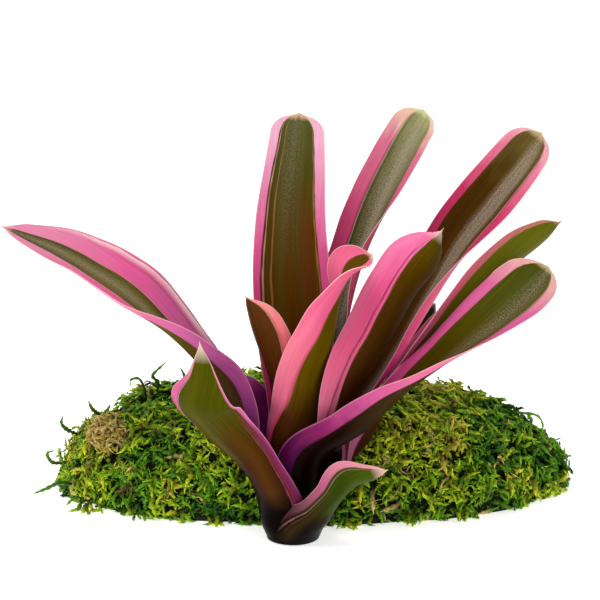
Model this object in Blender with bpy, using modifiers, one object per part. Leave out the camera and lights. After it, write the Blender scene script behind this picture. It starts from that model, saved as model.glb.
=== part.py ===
"""Neoregelia bromeliad standing in a mound of carpet moss.

Lengths are in millimetres and turned into metres by MM. The stem foot stands on the origin,
+Z is up and the front of the plant faces -Y.
"""
import math
import random

import bmesh
import bpy
import numpy as np
from mathutils.bvhtree import BVHTree

MM = 0.001

# leaf blades
LEAF_THICKNESS = 0.8
LEAF_ROWS = 20
LEAF_COLUMNS = 8
TIP_CROWDING = 1.25
NARROWEST = 1.6
UPRIGHT_BASE = 20.0
DIRECTION_SPAN = 9.0
ARC_STEPS = 8

# stem, radius and height from the tip down to the foot
STEM_STEPS = 24
STEM_PROFILE = (
    (0.0, 20.0),
    (0.9, 19.6),
    (1.9, 18.4),
    (2.4, 17.0),
    (3.6, 16.0),
    (4.8, 15.0),
    (6.0, 14.0),
    (7.2, 13.0),
    (8.4, 12.0),
    (9.7, 10.5),
    (10.9, 9.0),
    (12.1, 7.0),
    (13.5, 5.0),
    (14.9, 3.0),
    (16.3, 1.5),
    (17.0, 0.0),
    (0.0, 0.0),
)

# moss mound
MOUND_CENTRE = (6.0, 80.0)
MOUND_LEFT = 138.0
MOUND_RIGHT = 144.0
MOUND_FRONT = 64.0
MOUND_BACK = 70.0
MOUND_HEIGHT = 59.0
MOUND_LIP = 6.0
MOUND_COLUMNS = 60
MOUND_ROWS = 34
RING_CROWDING = 1.4
MOUND_RELIEF = 2.4
MOUND_SEED = 11
BAY_FOOT_RADIUS = 17.8
BAY_SLOPE = 0.95
BAY_HEIGHT = 80.0

# shag, every second corner of the mound raised to a leaning clump of shoots
SHAG_SEED = 7
SHAG_LIFT = (3.0, 7.0)
SHAG_LEAN = 2.6
SHAG_SINK = 1.8
SHAG_TUFT_MARGIN = 7.0

# moss sprigs, bent three-sided shoots
SPRIG_COUNT = 148
SPRIG_SEED = 5
SPRIG_ROOT = 3.0
SPRIG_RADIUS = (1.5, 2.0)
SPRIG_LENGTH = (9.0, 14.0)
SPRIG_BAY_MARGIN = 6.0
SPRIG_TUFT_MARGIN = 12.0

# dried tuft
TUFT_CENTRE = (-98.0, 60.0, 39.0)
TUFT_RADII = (11.0, 9.5, 6.5)
TUFT_GAP = 0.4
TUFT_SPRIGS = 26
TUFT_SEED = 3

# leaves from the outermost to the innermost
# a station is x, y, z, blade width, channel angle in degrees, bearing of the open side in degrees
LEAVES = {
    "leaf_low_front_right": {
        "tip": (0.08, 0.5),
        "stations": [
            (9.5, -14.1, 1.5, 56.4, 190, 124),
            (11.5, -17.1, 7.0, 56.9, 180, 124),
            (14.7, -23.0, 18.3, 46.0, 139, 120),
            (23.5, -29.0, 30.0, 38.0, 111, 123),
            (31.4, -32.0, 39.0, 27.0, 88, 132),
            (38.7, -34.0, 44.9, 15.0, 73, 140),
            (44.1, -35.0, 48.4, 7.0, 58, 146),
        ],
    },
    "leaf_low_front_left": {
        "tip": (0.08, 0.5),
        "stations": [
            (-13.2, -8.3, 3.0, 47.6, 175, 32),
            (-15.8, -9.9, 18.0, 55.2, 170, 32),
            (-28.9, -21.0, 44.6, 42.0, 130, 49),
            (-40.9, -30.0, 66.5, 40.0, 98, 54),
            (-47.3, -37.0, 83.2, 38.0, 75, 60),
            (-47.5, -40.0, 96.4, 24.0, 70, 66),
            (-45.6, -37.0, 108.7, 7.0, 90, 62),
        ],
    },
    "leaf_right_rear": {
        "tip": (0.1, 0.6),
        "stations": [
            (9.9, 10.2, 5.0, 32.2, 130, 226),
            (15.6, 16.2, 24.0, 36.1, 115, 226),
            (36.7, 21.0, 41.6, 34.0, 108, 177),
            (48.7, 29.0, 60.2, 31.0, 93, 183),
            (58.2, 36.0, 74.9, 28.0, 73, 196),
            (64.6, 44.0, 88.8, 25.0, 59, 209),
            (70.5, 50.0, 100.7, 20.0, 59, 212),
            (74.3, 54.0, 109.9, 10.0, 60, 214),
        ],
    },
    "leaf_right_middle": {
        "tip": (0.05, 0.7),
        "stations": [
            (12.5, 2.9, 7.0, 24.6, 110, 193),
            (19.9, 4.6, 28.0, 29.7, 100, 193),
            (27.4, 6.3, 45.0, 33.8, 95, 193),
            (31.9, 16.0, 54.1, 10.0, 149, 143),
            (52.8, 7.0, 82.1, 11.0, 133, 167),
            (74.9, 1.0, 109.1, 26.0, 113, 170),
            (98.7, 2.0, 130.6, 28.0, 110, 162),
            (116.9, 9.0, 145.4, 22.0, 100, 159),
            (133.7, 20.0, 160.8, 10.0, 60, 159),
        ],
    },
    "leaf_right_tall": {
        "tip": (0.05, 0.5),
        "stations": [
            (6.1, 9.8, 9.0, 24.3, 120, 238),
            (9.2, 14.7, 28.0, 29.6, 110, 238),
            (12.1, 19.4, 45.0, 34.5, 105, 238),
            (32.2, 33.0, 61.7, 27.0, 101, 216),
            (54.1, 40.0, 85.1, 31.0, 93, 215),
            (72.0, 43.0, 114.5, 34.0, 90, 216),
            (90.5, 48.0, 144.2, 34.0, 71, 221),
            (107.7, 50.0, 171.3, 34.0, 50, 229),
            (123.7, 53.0, 201.6, 29.0, 45, 232),
        ],
    },
    "leaf_right_front": {
        "tip": (0.06, 0.5),
        "stations": [
            (9.4, -4.4, 10.5, 39.0, 215, 155),
            (12.6, -5.9, 26.0, 49.5, 210, 155),
            (14.9, -6.9, 38.0, 56.9, 205, 155),
            (16.9, -7.9, 49.0, 60.0, 190, 155),
            (39.1, -17.0, 62.2, 52.0, 163, 157),
            (53.9, -19.0, 75.4, 44.0, 134, 168),
            (73.0, -20.0, 92.4, 38.0, 104, 187),
            (97.6, -16.0, 113.4, 37.0, 76, 211),
            (116.2, -9.0, 128.4, 35.0, 51, 223),
            (128.9, -3.0, 141.7, 28.0, 46, 227),
        ],
    },
    "leaf_left_long": {
        "tip": (0.05, 0.7),
        "stations": [
            (-8.4, 3.6, 12.0, 28.3, 178, -23),
            (-17.2, 7.3, 28.0, 37.6, 175, -23),
            (-19.4, 8.2, 42.0, 44.3, 168, -23),
            (-24.6, 10.4, 52.0, 47.2, 158, -23),
            (-32.9, 2.0, 68.8, 44.0, 135, 9),
            (-47.1, 5.0, 81.6, 43.0, 125, 4),
            (-64.8, 9.0, 100.0, 40.0, 112, -6),
            (-83.4, 12.0, 116.5, 37.0, 100, -18),
            (-112.6, 16.0, 137.4, 28.0, 95, -17),
            (-146.0, 18.0, 158.7, 7.0, 60, -14),
        ],
    },
    "leaf_back_right": {
        "tip": (0.045, 0.5),
        "stations": [
            (1.4, 7.8, 13.0, 17.2, 125, 260),
            (2.0, 11.2, 28.0, 21.9, 115, 260),
            (2.4, 13.9, 42.0, 26.3, 110, 260),
            (12.8, 17.0, 78.0, 27.0, 97, 245),
            (22.0, 25.0, 108.2, 28.0, 88, 237),
            (31.3, 34.0, 135.5, 29.0, 89, 228),
            (40.6, 43.0, 159.7, 29.0, 75, 230),
            (52.0, 52.0, 184.0, 26.0, 50, 235),
            (65.4, 60.0, 210.2, 22.0, 45, 240),
        ],
    },
    "leaf_back_centre": {
        "tip": (0.045, 0.5),
        "stations": [
            (-2.0, 6.4, 14.0, 17.0, 145, 287),
            (-2.9, 9.5, 30.0, 22.5, 130, 287),
            (-3.6, 11.8, 42.0, 24.7, 115, 287),
            (2.6, 12.7, 70.2, 34.0, 80, 268),
            (2.1, 15.6, 101.3, 38.0, 51, 267),
            (0.6, 20.0, 131.7, 38.0, 34, 267),
            (0.1, 26.0, 161.0, 35.0, 29, 266),
            (1.6, 34.0, 187.8, 31.0, 29, 267),
            (3.1, 42.0, 211.5, 25.0, 29, 269),
        ],
    },
    "leaf_inner_front": {
        "tip": (0.07, 0.6),
        "stations": [
            (-1.8, -5.2, 15.0, 15.8, 165, 71),
            (-3.5, -10.0, 30.0, 23.0, 155, 71),
            (-4.9, -14.4, 44.0, 28.6, 145, 71),
            (5.6, -12.7, 70.8, 36.0, 131, 121),
            (9.1, -16.0, 91.2, 37.0, 115, 130),
            (17.0, -17.0, 111.1, 36.0, 112, 142),
            (23.8, -15.0, 127.5, 30.0, 105, 165),
            (30.7, -13.0, 139.7, 22.0, 100, 195),
            (39.2, -10.0, 145.6, 8.0, 80, 215),
        ],
    },
    "leaf_inner_right": {
        "tip": (0.05, 0.75),
        "stations": [
            (4.3, 0.4, 16.0, 12.0, 160, 186),
            (7.1, 0.7, 30.0, 18.6, 150, 186),
            (13.1, 1.4, 42.0, 23.2, 140, 186),
            (24.2, -8.8, 65.9, 33.0, 125, 157),
            (36.6, -10.0, 88.3, 39.0, 112, 136),
            (50.1, -5.0, 111.3, 40.0, 107, 127),
            (63.0, 1.0, 136.1, 31.0, 100, 125),
            (73.9, 5.0, 158.7, 5.0, 69, 127),
        ],
    },
    "leaf_inner_left": {
        "tip": (0.06, 0.6),
        "stations": [
            (-2.8, -1.3, 17.0, 8.7, 160, 25),
            (-5.2, -2.4, 30.0, 15.9, 160, 25),
            (-8.6, -4.0, 44.0, 22.3, 150, 25),
            (-7.5, -6.0, 78.2, 24.0, 130, 40),
            (-10.9, -8.0, 94.5, 28.0, 120, 45),
            (-14.8, -9.0, 110.4, 28.0, 110, 50),
            (-19.2, -10.0, 123.5, 17.0, 100, 50),
            (-23.1, -11.0, 130.5, 4.0, 60, 40),
        ],
    },
}

COLOURS = {
    "leaf_low_front_right": (0.024, 0.037, 0.003),
    "leaf_low_front_left": (0.098, 0.036, 0.003),
    "leaf_right_rear": (0.150, 0.078, 0.010),
    "leaf_right_middle": (0.136, 0.095, 0.003),
    "leaf_right_tall": (0.078, 0.028, 0.003),
    "leaf_right_front": (0.069, 0.058, 0.002),
    "leaf_left_long": (0.083, 0.050, 0.004),
    "leaf_back_right": (0.305, 0.292, 0.144),
    "leaf_back_centre": (0.095, 0.082, 0.021),
    "leaf_inner_front": (0.191, 0.098, 0.001),
    "leaf_inner_right": (0.153, 0.064, 0.004),
    "leaf_inner_left": (0.133, 0.044, 0.008),
    "stem": (0.020, 0.008, 0.006),
    "moss_pad": (0.109, 0.178, 0.006),
    "dry_moss_tuft": (0.275, 0.191, 0.030),
}


def clear_scene():
    for obj in list(bpy.data.objects):
        bpy.data.objects.remove(obj)


def make_collection(name):
    collection = bpy.data.collections.new(name)
    bpy.context.scene.collection.children.link(collection)
    return collection


def make_material(name, colour, roughness):
    material = bpy.data.materials.new(name)
    material.use_nodes = True
    shader = material.node_tree.nodes["Principled BSDF"]
    shader.inputs["Base Color"].default_value = (*colour, 1.0)
    shader.inputs["Roughness"].default_value = roughness
    material.diffuse_color = (*colour, 1.0)
    return material


def add_object(name, mesh, collection, parent=None, roughness=0.45):
    obj = bpy.data.objects.new(name, mesh)
    collection.objects.link(obj)
    if name in COLOURS:
        mesh.materials.append(make_material(name + "_colour", COLOURS[name], roughness))
    obj.parent = parent
    return obj


def apply_modifiers(obj):
    bpy.context.view_layer.update()
    graph = bpy.context.evaluated_depsgraph_get()
    mesh = bpy.data.meshes.new_from_object(obj.evaluated_get(graph))
    obj.modifiers.clear()
    obj.data = mesh


def curve_through(places, values, where):
    """Smooth curve through values at unevenly spaced places."""
    slopes = np.zeros_like(values)
    last = len(places) - 1
    for i in range(last + 1):
        if i == 0:
            slopes[i] = (values[1] - values[0]) / (places[1] - places[0])
        elif i == last:
            slopes[i] = (values[i] - values[i - 1]) / (places[i] - places[i - 1])
        else:
            before = (values[i] - values[i - 1]) / (places[i] - places[i - 1])
            after = (values[i + 1] - values[i]) / (places[i + 1] - places[i])
            share = (places[i + 1] - places[i]) / (places[i + 1] - places[i - 1])
            slopes[i] = share * before + (1 - share) * after
    i = np.clip(np.searchsorted(places, where, side="right") - 1, 0, last - 1)
    step = (places[i + 1] - places[i])[:, None]
    s = (where - places[i])[:, None] / step
    start = (2 * s**3 - 3 * s**2 + 1) * values[i] + (s**3 - 2 * s**2 + s) * step * slopes[i]
    end = (3 * s**2 - 2 * s**3) * values[i + 1] + (s**3 - s**2) * step * slopes[i + 1]
    return start + end


def unit(vectors):
    return vectors / np.linalg.norm(vectors, axis=-1, keepdims=True)


def leaf_points(leaf, rows, columns):
    """Blade surface as rows from the base to the tip, each a circular channel section."""
    stations = np.array(leaf["stations"], float)
    steps = np.linalg.norm(np.diff(stations[:, :3], axis=0), axis=1)
    places = np.concatenate([[0.0], np.cumsum(steps)])
    length = places[-1]
    part = 1 - (1 - np.linspace(0, 1, rows + 1)) ** TIP_CROWDING
    along = part * length
    rails = curve_through(places, stations, along)

    span = np.clip(np.minimum(along, length - along), 0.5, DIRECTION_SPAN)
    ahead = curve_through(places, stations, np.clip(along + span, 0, length))[:, :3]
    behind = curve_through(places, stations, np.clip(along - span, 0, length))[:, :3]
    free = np.clip(along / UPRIGHT_BASE, 0, 1)[:, None]
    free = free * free * (3 - 2 * free)
    forward = unit(unit(ahead - behind) * free + np.array([0.0, 0.0, 1.0]) * (1 - free))
    bearing = np.radians(rails[:, 5])
    facing = np.stack([np.cos(bearing), np.sin(bearing), np.zeros_like(bearing)], 1)
    inward = unit(facing - (facing * forward).sum(1)[:, None] * forward)
    across = np.cross(forward, inward)

    tip_share, tip_power = leaf["tip"]
    taper = np.clip((part - 1 + tip_share) / tip_share, 0, 1)
    width = np.maximum(rails[:, 3] * np.maximum(1 - taper**2, 0) ** tip_power, NARROWEST)
    channel = np.radians(rails[:, 4])

    edges = np.linspace(-1, 1, columns * ARC_STEPS + 1)
    middles = (edges[1:] + edges[:-1]) / 2
    points = np.zeros((rows + 1, columns + 1, 3))
    for i in range(rows + 1):
        angle = channel[i] / 2 * middles
        step = width[i] / 2 * (edges[1] - edges[0])
        side = np.concatenate([[0.0], np.cumsum(np.cos(angle) * step)])
        rise = np.concatenate([[0.0], np.cumsum(np.sin(angle) * step)])
        side -= side[len(edges) // 2]
        rise -= rise[len(edges) // 2]
        points[i] = (
            rails[i, :3]
            + side[::ARC_STEPS, None] * across[i]
            + rise[::ARC_STEPS, None] * inward[i]
        )
    return points


def add_leaf(name, leaf, collection, parent):
    points = leaf_points(leaf, LEAF_ROWS, LEAF_COLUMNS)
    bm = bmesh.new()
    bmesh.ops.create_grid(bm, x_segments=LEAF_COLUMNS, y_segments=LEAF_ROWS, size=1.0)
    for vert in bm.verts:
        column = round((vert.co.x + 1) / 2 * LEAF_COLUMNS)
        row = round((vert.co.y + 1) / 2 * LEAF_ROWS)
        vert.co = points[row, column] * MM
    bmesh.ops.triangulate(bm, faces=bm.faces[:], quad_method="SHORT_EDGE")
    mesh = bpy.data.meshes.new(name)
    bm.to_mesh(mesh)
    bm.free()
    obj = add_object(name, mesh, collection, parent)
    solidify = obj.modifiers.new("thickness", "SOLIDIFY")
    solidify.thickness = LEAF_THICKNESS * MM
    solidify.offset = 0.0
    return obj


def add_stem(collection, parent):
    bm = bmesh.new()
    verts = [bm.verts.new((radius * MM, 0.0, height * MM)) for radius, height in STEM_PROFILE]
    for first, second in zip(verts[:-1], verts[1:]):
        bm.edges.new((first, second))
    mesh = bpy.data.meshes.new("stem")
    bm.to_mesh(mesh)
    bm.free()
    obj = add_object("stem", mesh, collection, parent)
    screw = obj.modifiers.new("turn", "SCREW")
    screw.axis = "Z"
    screw.angle = 2 * math.pi
    screw.steps = STEM_STEPS
    screw.render_steps = STEM_STEPS
    screw.use_merge_vertices = True
    screw.merge_threshold = 1e-5
    return obj


def mound_waves():
    rng = random.Random(MOUND_SEED)
    waves = []
    for _ in range(9):
        length = rng.uniform(32.0, 70.0)
        turn = rng.uniform(0, 2 * math.pi)
        waves.append((math.cos(turn) / length, math.sin(turn) / length, rng.uniform(0, 2 * math.pi)))
    return waves


def relief(waves, x, y):
    total = sum(math.sin(2 * math.pi * (x * a + y * b) + shift) for a, b, shift in waves)
    return MOUND_RELIEF * total / 3.0


def rim_factor(bearing):
    wobble = 0.016 * math.sin(5 * bearing + 0.6) + 0.012 * math.sin(9 * bearing + 2.1)
    return 1.0 + wobble + 0.008 * math.sin(17 * bearing)


def mound_point(waves, share, bearing):
    """Top of the mound at a share of the way from its centre to its rim."""
    reach_x = MOUND_RIGHT if math.cos(bearing) > 0 else MOUND_LEFT
    reach_y = MOUND_BACK if math.sin(bearing) > 0 else MOUND_FRONT
    grown = share * rim_factor(bearing)
    x = MOUND_CENTRE[0] + grown * reach_x * math.cos(bearing)
    y = MOUND_CENTRE[1] + grown * reach_y * math.sin(bearing)
    dome = max(1 - share**3.2, 0.0) ** 0.6
    z = MOUND_LIP + (MOUND_HEIGHT - MOUND_LIP) * dome + relief(waves, x, y) * min(1.0, 3 * (1 - share))
    return x, y, z


def mound_normal(waves, share, bearing):
    share = min(max(share, 0.02), 0.97)
    nearer = mound_point(waves, share - 0.02, bearing)
    further = mound_point(waves, share + 0.02, bearing)
    before = mound_point(waves, share, bearing - 0.04)
    after = mound_point(waves, share, bearing + 0.04)
    outward, around = np.subtract(further, nearer), np.subtract(after, before)
    return unit(np.cross(outward, around))


def disc_place(u, v):
    """Reach and bearing on a round pad of a point on a square one, with rings kept even."""
    if abs(u) >= abs(v):
        turn = math.pi / 4 * v / u if u else 0.0
        return abs(u), turn if u >= 0 else turn + math.pi
    turn = math.pi / 2 - math.pi / 4 * u / v
    return abs(v), turn if v >= 0 else turn + math.pi


def clear_of_plant(point, tuft_margin):
    bay_radius = BAY_FOOT_RADIUS + BAY_SLOPE * point[2] + SPRIG_BAY_MARGIN
    reach = TUFT_RADII[0] + tuft_margin
    near_tuft = math.hypot(point[0] - TUFT_CENTRE[0], point[1] - TUFT_CENTRE[1]) < reach
    return math.hypot(point[0], point[1]) > bay_radius and not near_tuft


def add_mound(waves, collection, parent):
    rng = random.Random(SHAG_SEED)
    bm = bmesh.new()
    bmesh.ops.create_grid(bm, x_segments=MOUND_COLUMNS, y_segments=MOUND_ROWS, size=1.0)
    rim = [edge for edge in bm.edges if edge.is_boundary]
    bmesh.ops.holes_fill(bm, edges=rim, sides=0)
    for vert in bm.verts:
        column = round((vert.co.x + 1) / 2 * MOUND_COLUMNS)
        row = round((vert.co.y + 1) / 2 * MOUND_ROWS)
        reach, bearing = disc_place(vert.co.x, vert.co.y)
        share = 1 - (1 - reach) ** RING_CROWDING
        point = np.array(mound_point(waves, share, bearing))
        lift = rng.uniform(*SHAG_LIFT) if (column + row) % 2 else -SHAG_SINK
        turn = rng.uniform(0, 2 * math.pi)
        lean = SHAG_LEAN * max(lift, 0.0) / SHAG_LIFT[1]
        if reach > 0.999:
            point[2] = 0.0
        elif clear_of_plant(point, SHAG_TUFT_MARGIN):
            point += mound_normal(waves, share, bearing) * lift
            point += np.array([math.cos(turn), math.sin(turn), 0.0]) * lean
            point[2] = max(point[2], 1.5)
        vert.co = point * MM
    bmesh.ops.triangulate(bm, faces=bm.faces[:], quad_method="SHORT_EDGE")
    bmesh.ops.recalc_face_normals(bm, faces=bm.faces[:])
    mesh = bpy.data.meshes.new("moss_pad")
    bm.to_mesh(mesh)
    bm.free()
    return add_object("moss_pad", mesh, collection, parent, roughness=0.9)


def add_bay_cutter(collection):
    bm = bmesh.new()
    bmesh.ops.create_cone(
        bm,
        cap_ends=True,
        segments=40,
        radius1=(BAY_FOOT_RADIUS - BAY_SLOPE * 2.0) * MM,
        radius2=(BAY_FOOT_RADIUS + BAY_SLOPE * (BAY_HEIGHT - 2.0)) * MM,
        depth=BAY_HEIGHT * MM,
    )
    bmesh.ops.translate(bm, verts=bm.verts[:], vec=(0.0, 0.0, (BAY_HEIGHT / 2 - 2.0) * MM))
    mesh = bpy.data.meshes.new("bay_cutter")
    bm.to_mesh(mesh)
    bm.free()
    return add_cutter("bay_cutter", mesh, collection)


def add_cutter(name, mesh, collection):
    obj = bpy.data.objects.new(name, mesh)
    collection.objects.link(obj)
    obj.hide_render = True
    obj.display_type = "WIRE"
    return obj


def tuft_body(grow, segments, rings):
    bm = bmesh.new()
    bmesh.ops.create_uvsphere(bm, u_segments=segments, v_segments=rings, radius=1.0)
    for vert in bm.verts:
        vert.co = [(c + (r + grow) * v) * MM for c, r, v in zip(TUFT_CENTRE, TUFT_RADII, vert.co)]
    return bm


def sprig_mesh(name, root, normal, lean, length, radius, spin):
    """Bent shoot with its root sunk into the surface."""
    bm = bmesh.new()
    bmesh.ops.create_uvsphere(bm, u_segments=3, v_segments=3, radius=1.0)
    first = unit(np.cross(normal, np.array([0.31, 0.52, 0.79])))
    second = np.cross(normal, first)
    levels = sorted({round(vert.co.z, 4) for vert in bm.verts})
    spine = (
        root - normal * SPRIG_ROOT,
        root - normal * 0.4,
        root + normal * length * 0.45 + lean * length * 0.12,
        root + normal * length * 0.72 + lean * length * 0.6,
    )
    girth = (0.0, radius, radius * 0.72, 0.0)
    for vert in bm.verts:
        level = levels.index(round(vert.co.z, 4))
        turn = math.atan2(vert.co.y, vert.co.x) + spin
        ring = first * math.cos(turn) + second * math.sin(turn)
        vert.co = (spine[level] + ring * girth[level]) * MM
    mesh = bpy.data.meshes.new(name)
    bm.to_mesh(mesh)
    bm.free()
    return mesh, min(point[2] for point in spine[1:])


def add_mound_sprigs(waves, mound_mesh, collection):
    rng = random.Random(SPRIG_SEED)
    golden = math.pi * (3 - math.sqrt(5))
    corners = [vert.co for vert in mound_mesh.vertices]
    surface = BVHTree.FromPolygons(corners, [face.vertices[:] for face in mound_mesh.polygons])
    for k in range(SPRIG_COUNT):
        share = min(math.sqrt((k + 0.5) / SPRIG_COUNT) * rng.uniform(0.97, 1.02), 0.985)
        bearing = k * golden + rng.uniform(-0.05, 0.05)
        x, y, _ = mound_point(waves, share, bearing)
        turn = rng.uniform(0, 2 * math.pi)
        lean = np.array([math.cos(turn), math.sin(turn), 0.1])
        length = rng.uniform(*SPRIG_LENGTH)
        radius = rng.uniform(*SPRIG_RADIUS)
        spin = rng.uniform(0, 2)
        spot, _, _, _ = surface.ray_cast((x * MM, y * MM, 1.0), (0.0, 0.0, -1.0))
        if spot is None:
            continue
        root = np.array(spot) / MM
        if not clear_of_plant(root, SPRIG_TUFT_MARGIN):
            continue
        normal = mound_normal(waves, share, bearing)
        mesh, lowest = sprig_mesh("sprig", root, normal, lean, length, radius, spin)
        if lowest < 2.5:
            continue
        add_cutter("sprig_%03d" % k, mesh, collection)


def add_tuft_sprigs(collection):
    rng = random.Random(TUFT_SEED)
    golden = math.pi * (3 - math.sqrt(5))
    centre = np.array(TUFT_CENTRE)
    radii = np.array(TUFT_RADII)
    for k in range(TUFT_SPRIGS):
        share = 0.52 * math.sqrt((k + 0.5) / TUFT_SPRIGS)
        ball = np.array([math.cos(k * golden) * share, math.sin(k * golden) * share, math.sqrt(1 - share**2)])
        root = centre + ball * radii
        normal = unit(ball / radii + np.array([0.0, 0.0, 0.12]))
        turn = k * golden + rng.uniform(-0.8, 0.8)
        lean = np.array([0.45 * math.cos(turn), 0.45 * math.sin(turn), 0.6])
        mesh, _ = sprig_mesh("curl", root, normal, lean, rng.uniform(6.0, 10.0), 1.2, rng.uniform(0, 2))
        add_cutter("curl_%03d" % k, mesh, collection)


def cut(obj, cutter):
    modifier = obj.modifiers.new(cutter.name, "BOOLEAN")
    modifier.operation = "DIFFERENCE"
    modifier.solver = "EXACT"
    modifier.object = cutter


def fuse(obj, collection):
    modifier = obj.modifiers.new("sprigs", "BOOLEAN")
    modifier.operation = "UNION"
    modifier.solver = "MANIFOLD"
    modifier.operand_type = "COLLECTION"
    modifier.collection = collection
    apply_modifiers(obj)
    for extra in list(collection.objects):
        bpy.data.objects.remove(extra)


clear_scene()
plant = make_collection("neoregelia_bromeliad")
cutters = make_collection("cutters")
sprigs = make_collection("sprigs")
curls = make_collection("curls")
root_empty = bpy.data.objects.new("neoregelia_bromeliad", None)
plant.objects.link(root_empty)

for leaf_name, leaf_row in LEAVES.items():
    add_leaf(leaf_name, leaf_row, plant, root_empty)
add_stem(plant, root_empty)

moss_waves = mound_waves()
mound = add_mound(moss_waves, plant, root_empty)
hollow = bpy.data.meshes.new("tuft_hollow")
hollow_shape = tuft_body(TUFT_GAP, 20, 12)
hollow_shape.to_mesh(hollow)
hollow_shape.free()
cut(mound, add_bay_cutter(cutters))
cut(mound, add_cutter("tuft_hollow", hollow, cutters))
apply_modifiers(mound)
add_mound_sprigs(moss_waves, mound.data, sprigs)
fuse(mound, sprigs)

tuft_shape = tuft_body(0.0, 16, 10)
tuft_mesh = bpy.data.meshes.new("dry_moss_tuft")
tuft_shape.to_mesh(tuft_mesh)
tuft_shape.free()
tuft = add_object("dry_moss_tuft", tuft_mesh, plant, root_empty, roughness=0.9)
add_tuft_sprigs(curls)
fuse(tuft, curls)
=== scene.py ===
"""Look of a neoregelia bromeliad standing in a mound of carpet moss.

Sizes are in millimetres and turned into metres by MM. The stem foot stands on the origin and
the front of the plant faces -Y.
"""

import math
import random

import bpy
import numpy as np
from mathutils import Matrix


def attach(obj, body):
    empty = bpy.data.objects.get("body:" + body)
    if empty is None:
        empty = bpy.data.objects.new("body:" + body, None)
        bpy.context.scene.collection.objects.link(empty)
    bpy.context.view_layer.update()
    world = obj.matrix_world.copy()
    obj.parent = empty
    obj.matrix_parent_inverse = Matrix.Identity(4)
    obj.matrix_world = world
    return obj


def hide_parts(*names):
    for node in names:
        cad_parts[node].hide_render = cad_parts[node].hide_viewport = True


MM = 0.001

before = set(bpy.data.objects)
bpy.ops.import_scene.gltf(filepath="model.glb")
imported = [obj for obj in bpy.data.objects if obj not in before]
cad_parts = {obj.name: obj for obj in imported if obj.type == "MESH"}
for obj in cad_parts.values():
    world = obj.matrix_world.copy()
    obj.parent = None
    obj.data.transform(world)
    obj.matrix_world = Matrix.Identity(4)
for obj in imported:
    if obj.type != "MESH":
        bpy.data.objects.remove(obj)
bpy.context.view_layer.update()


# Lowest leaf on the right. It is the oldest one: its broad sheath wraps the foot of the rosette
# from the front, near black where it clasps the stem, and its short blade turns up to the right.
# The living leaf is a stiff strap under a millimetre thick, smooth and satin on its back.

BLADE_ROWS = 110
BLADE_COLUMNS = 30
ARC_STEPS = 4
TIP_CROWDING = 1.25
UPRIGHT_BASE = 20.0
DIRECTION_SPAN = 9.0
NARROWEST = 0.9
FOLD_TURN = 75.0
FOLD_START = 0.35
RIPPLE_HEIGHT = 0.12
RIPPLE_LENGTH = 23.0
RIPPLE_LAG = 1.9
RIPPLE_GROWN = 60.0
RIPPLE_FADE = 12.0
END_LENGTH = 14.0
NIB_WIDTH = 1.1
TEAR_WAVES = (3.1, 7.3)
BLADE_THICKNESS = 0.75
MARGIN_THINNING = 0.5
TIP_THINNING = 0.6
THIN_TIP_SHARE = 0.03
SHARP_FOLD = math.radians(50)
UNDER_ROUGHNESS = 0.34


def curve_through(places, values, where):
    """Smooth curve through values at unevenly spaced places."""
    slopes = np.gradient(values, places, axis=0)
    i = np.clip(np.searchsorted(places, where, side="right") - 1, 0, len(places) - 2)
    step = (places[i + 1] - places[i])[:, None]
    s = (where - places[i])[:, None] / step
    start = (2 * s**3 - 3 * s**2 + 1) * values[i] + (s**3 - 2 * s**2 + s) * step * slopes[i]
    end = (3 * s**2 - 2 * s**3) * values[i + 1] + (s**3 - s**2) * step * slopes[i + 1]
    return start + end


def unit(vectors):
    return vectors / np.linalg.norm(vectors, axis=-1, keepdims=True)


def smooth_step(share):
    return share * share * (3 - 2 * share)


def path_places(points):
    steps = np.linalg.norm(np.diff(points, axis=0), axis=1)
    return np.concatenate([[0.0], np.cumsum(steps)])


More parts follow.
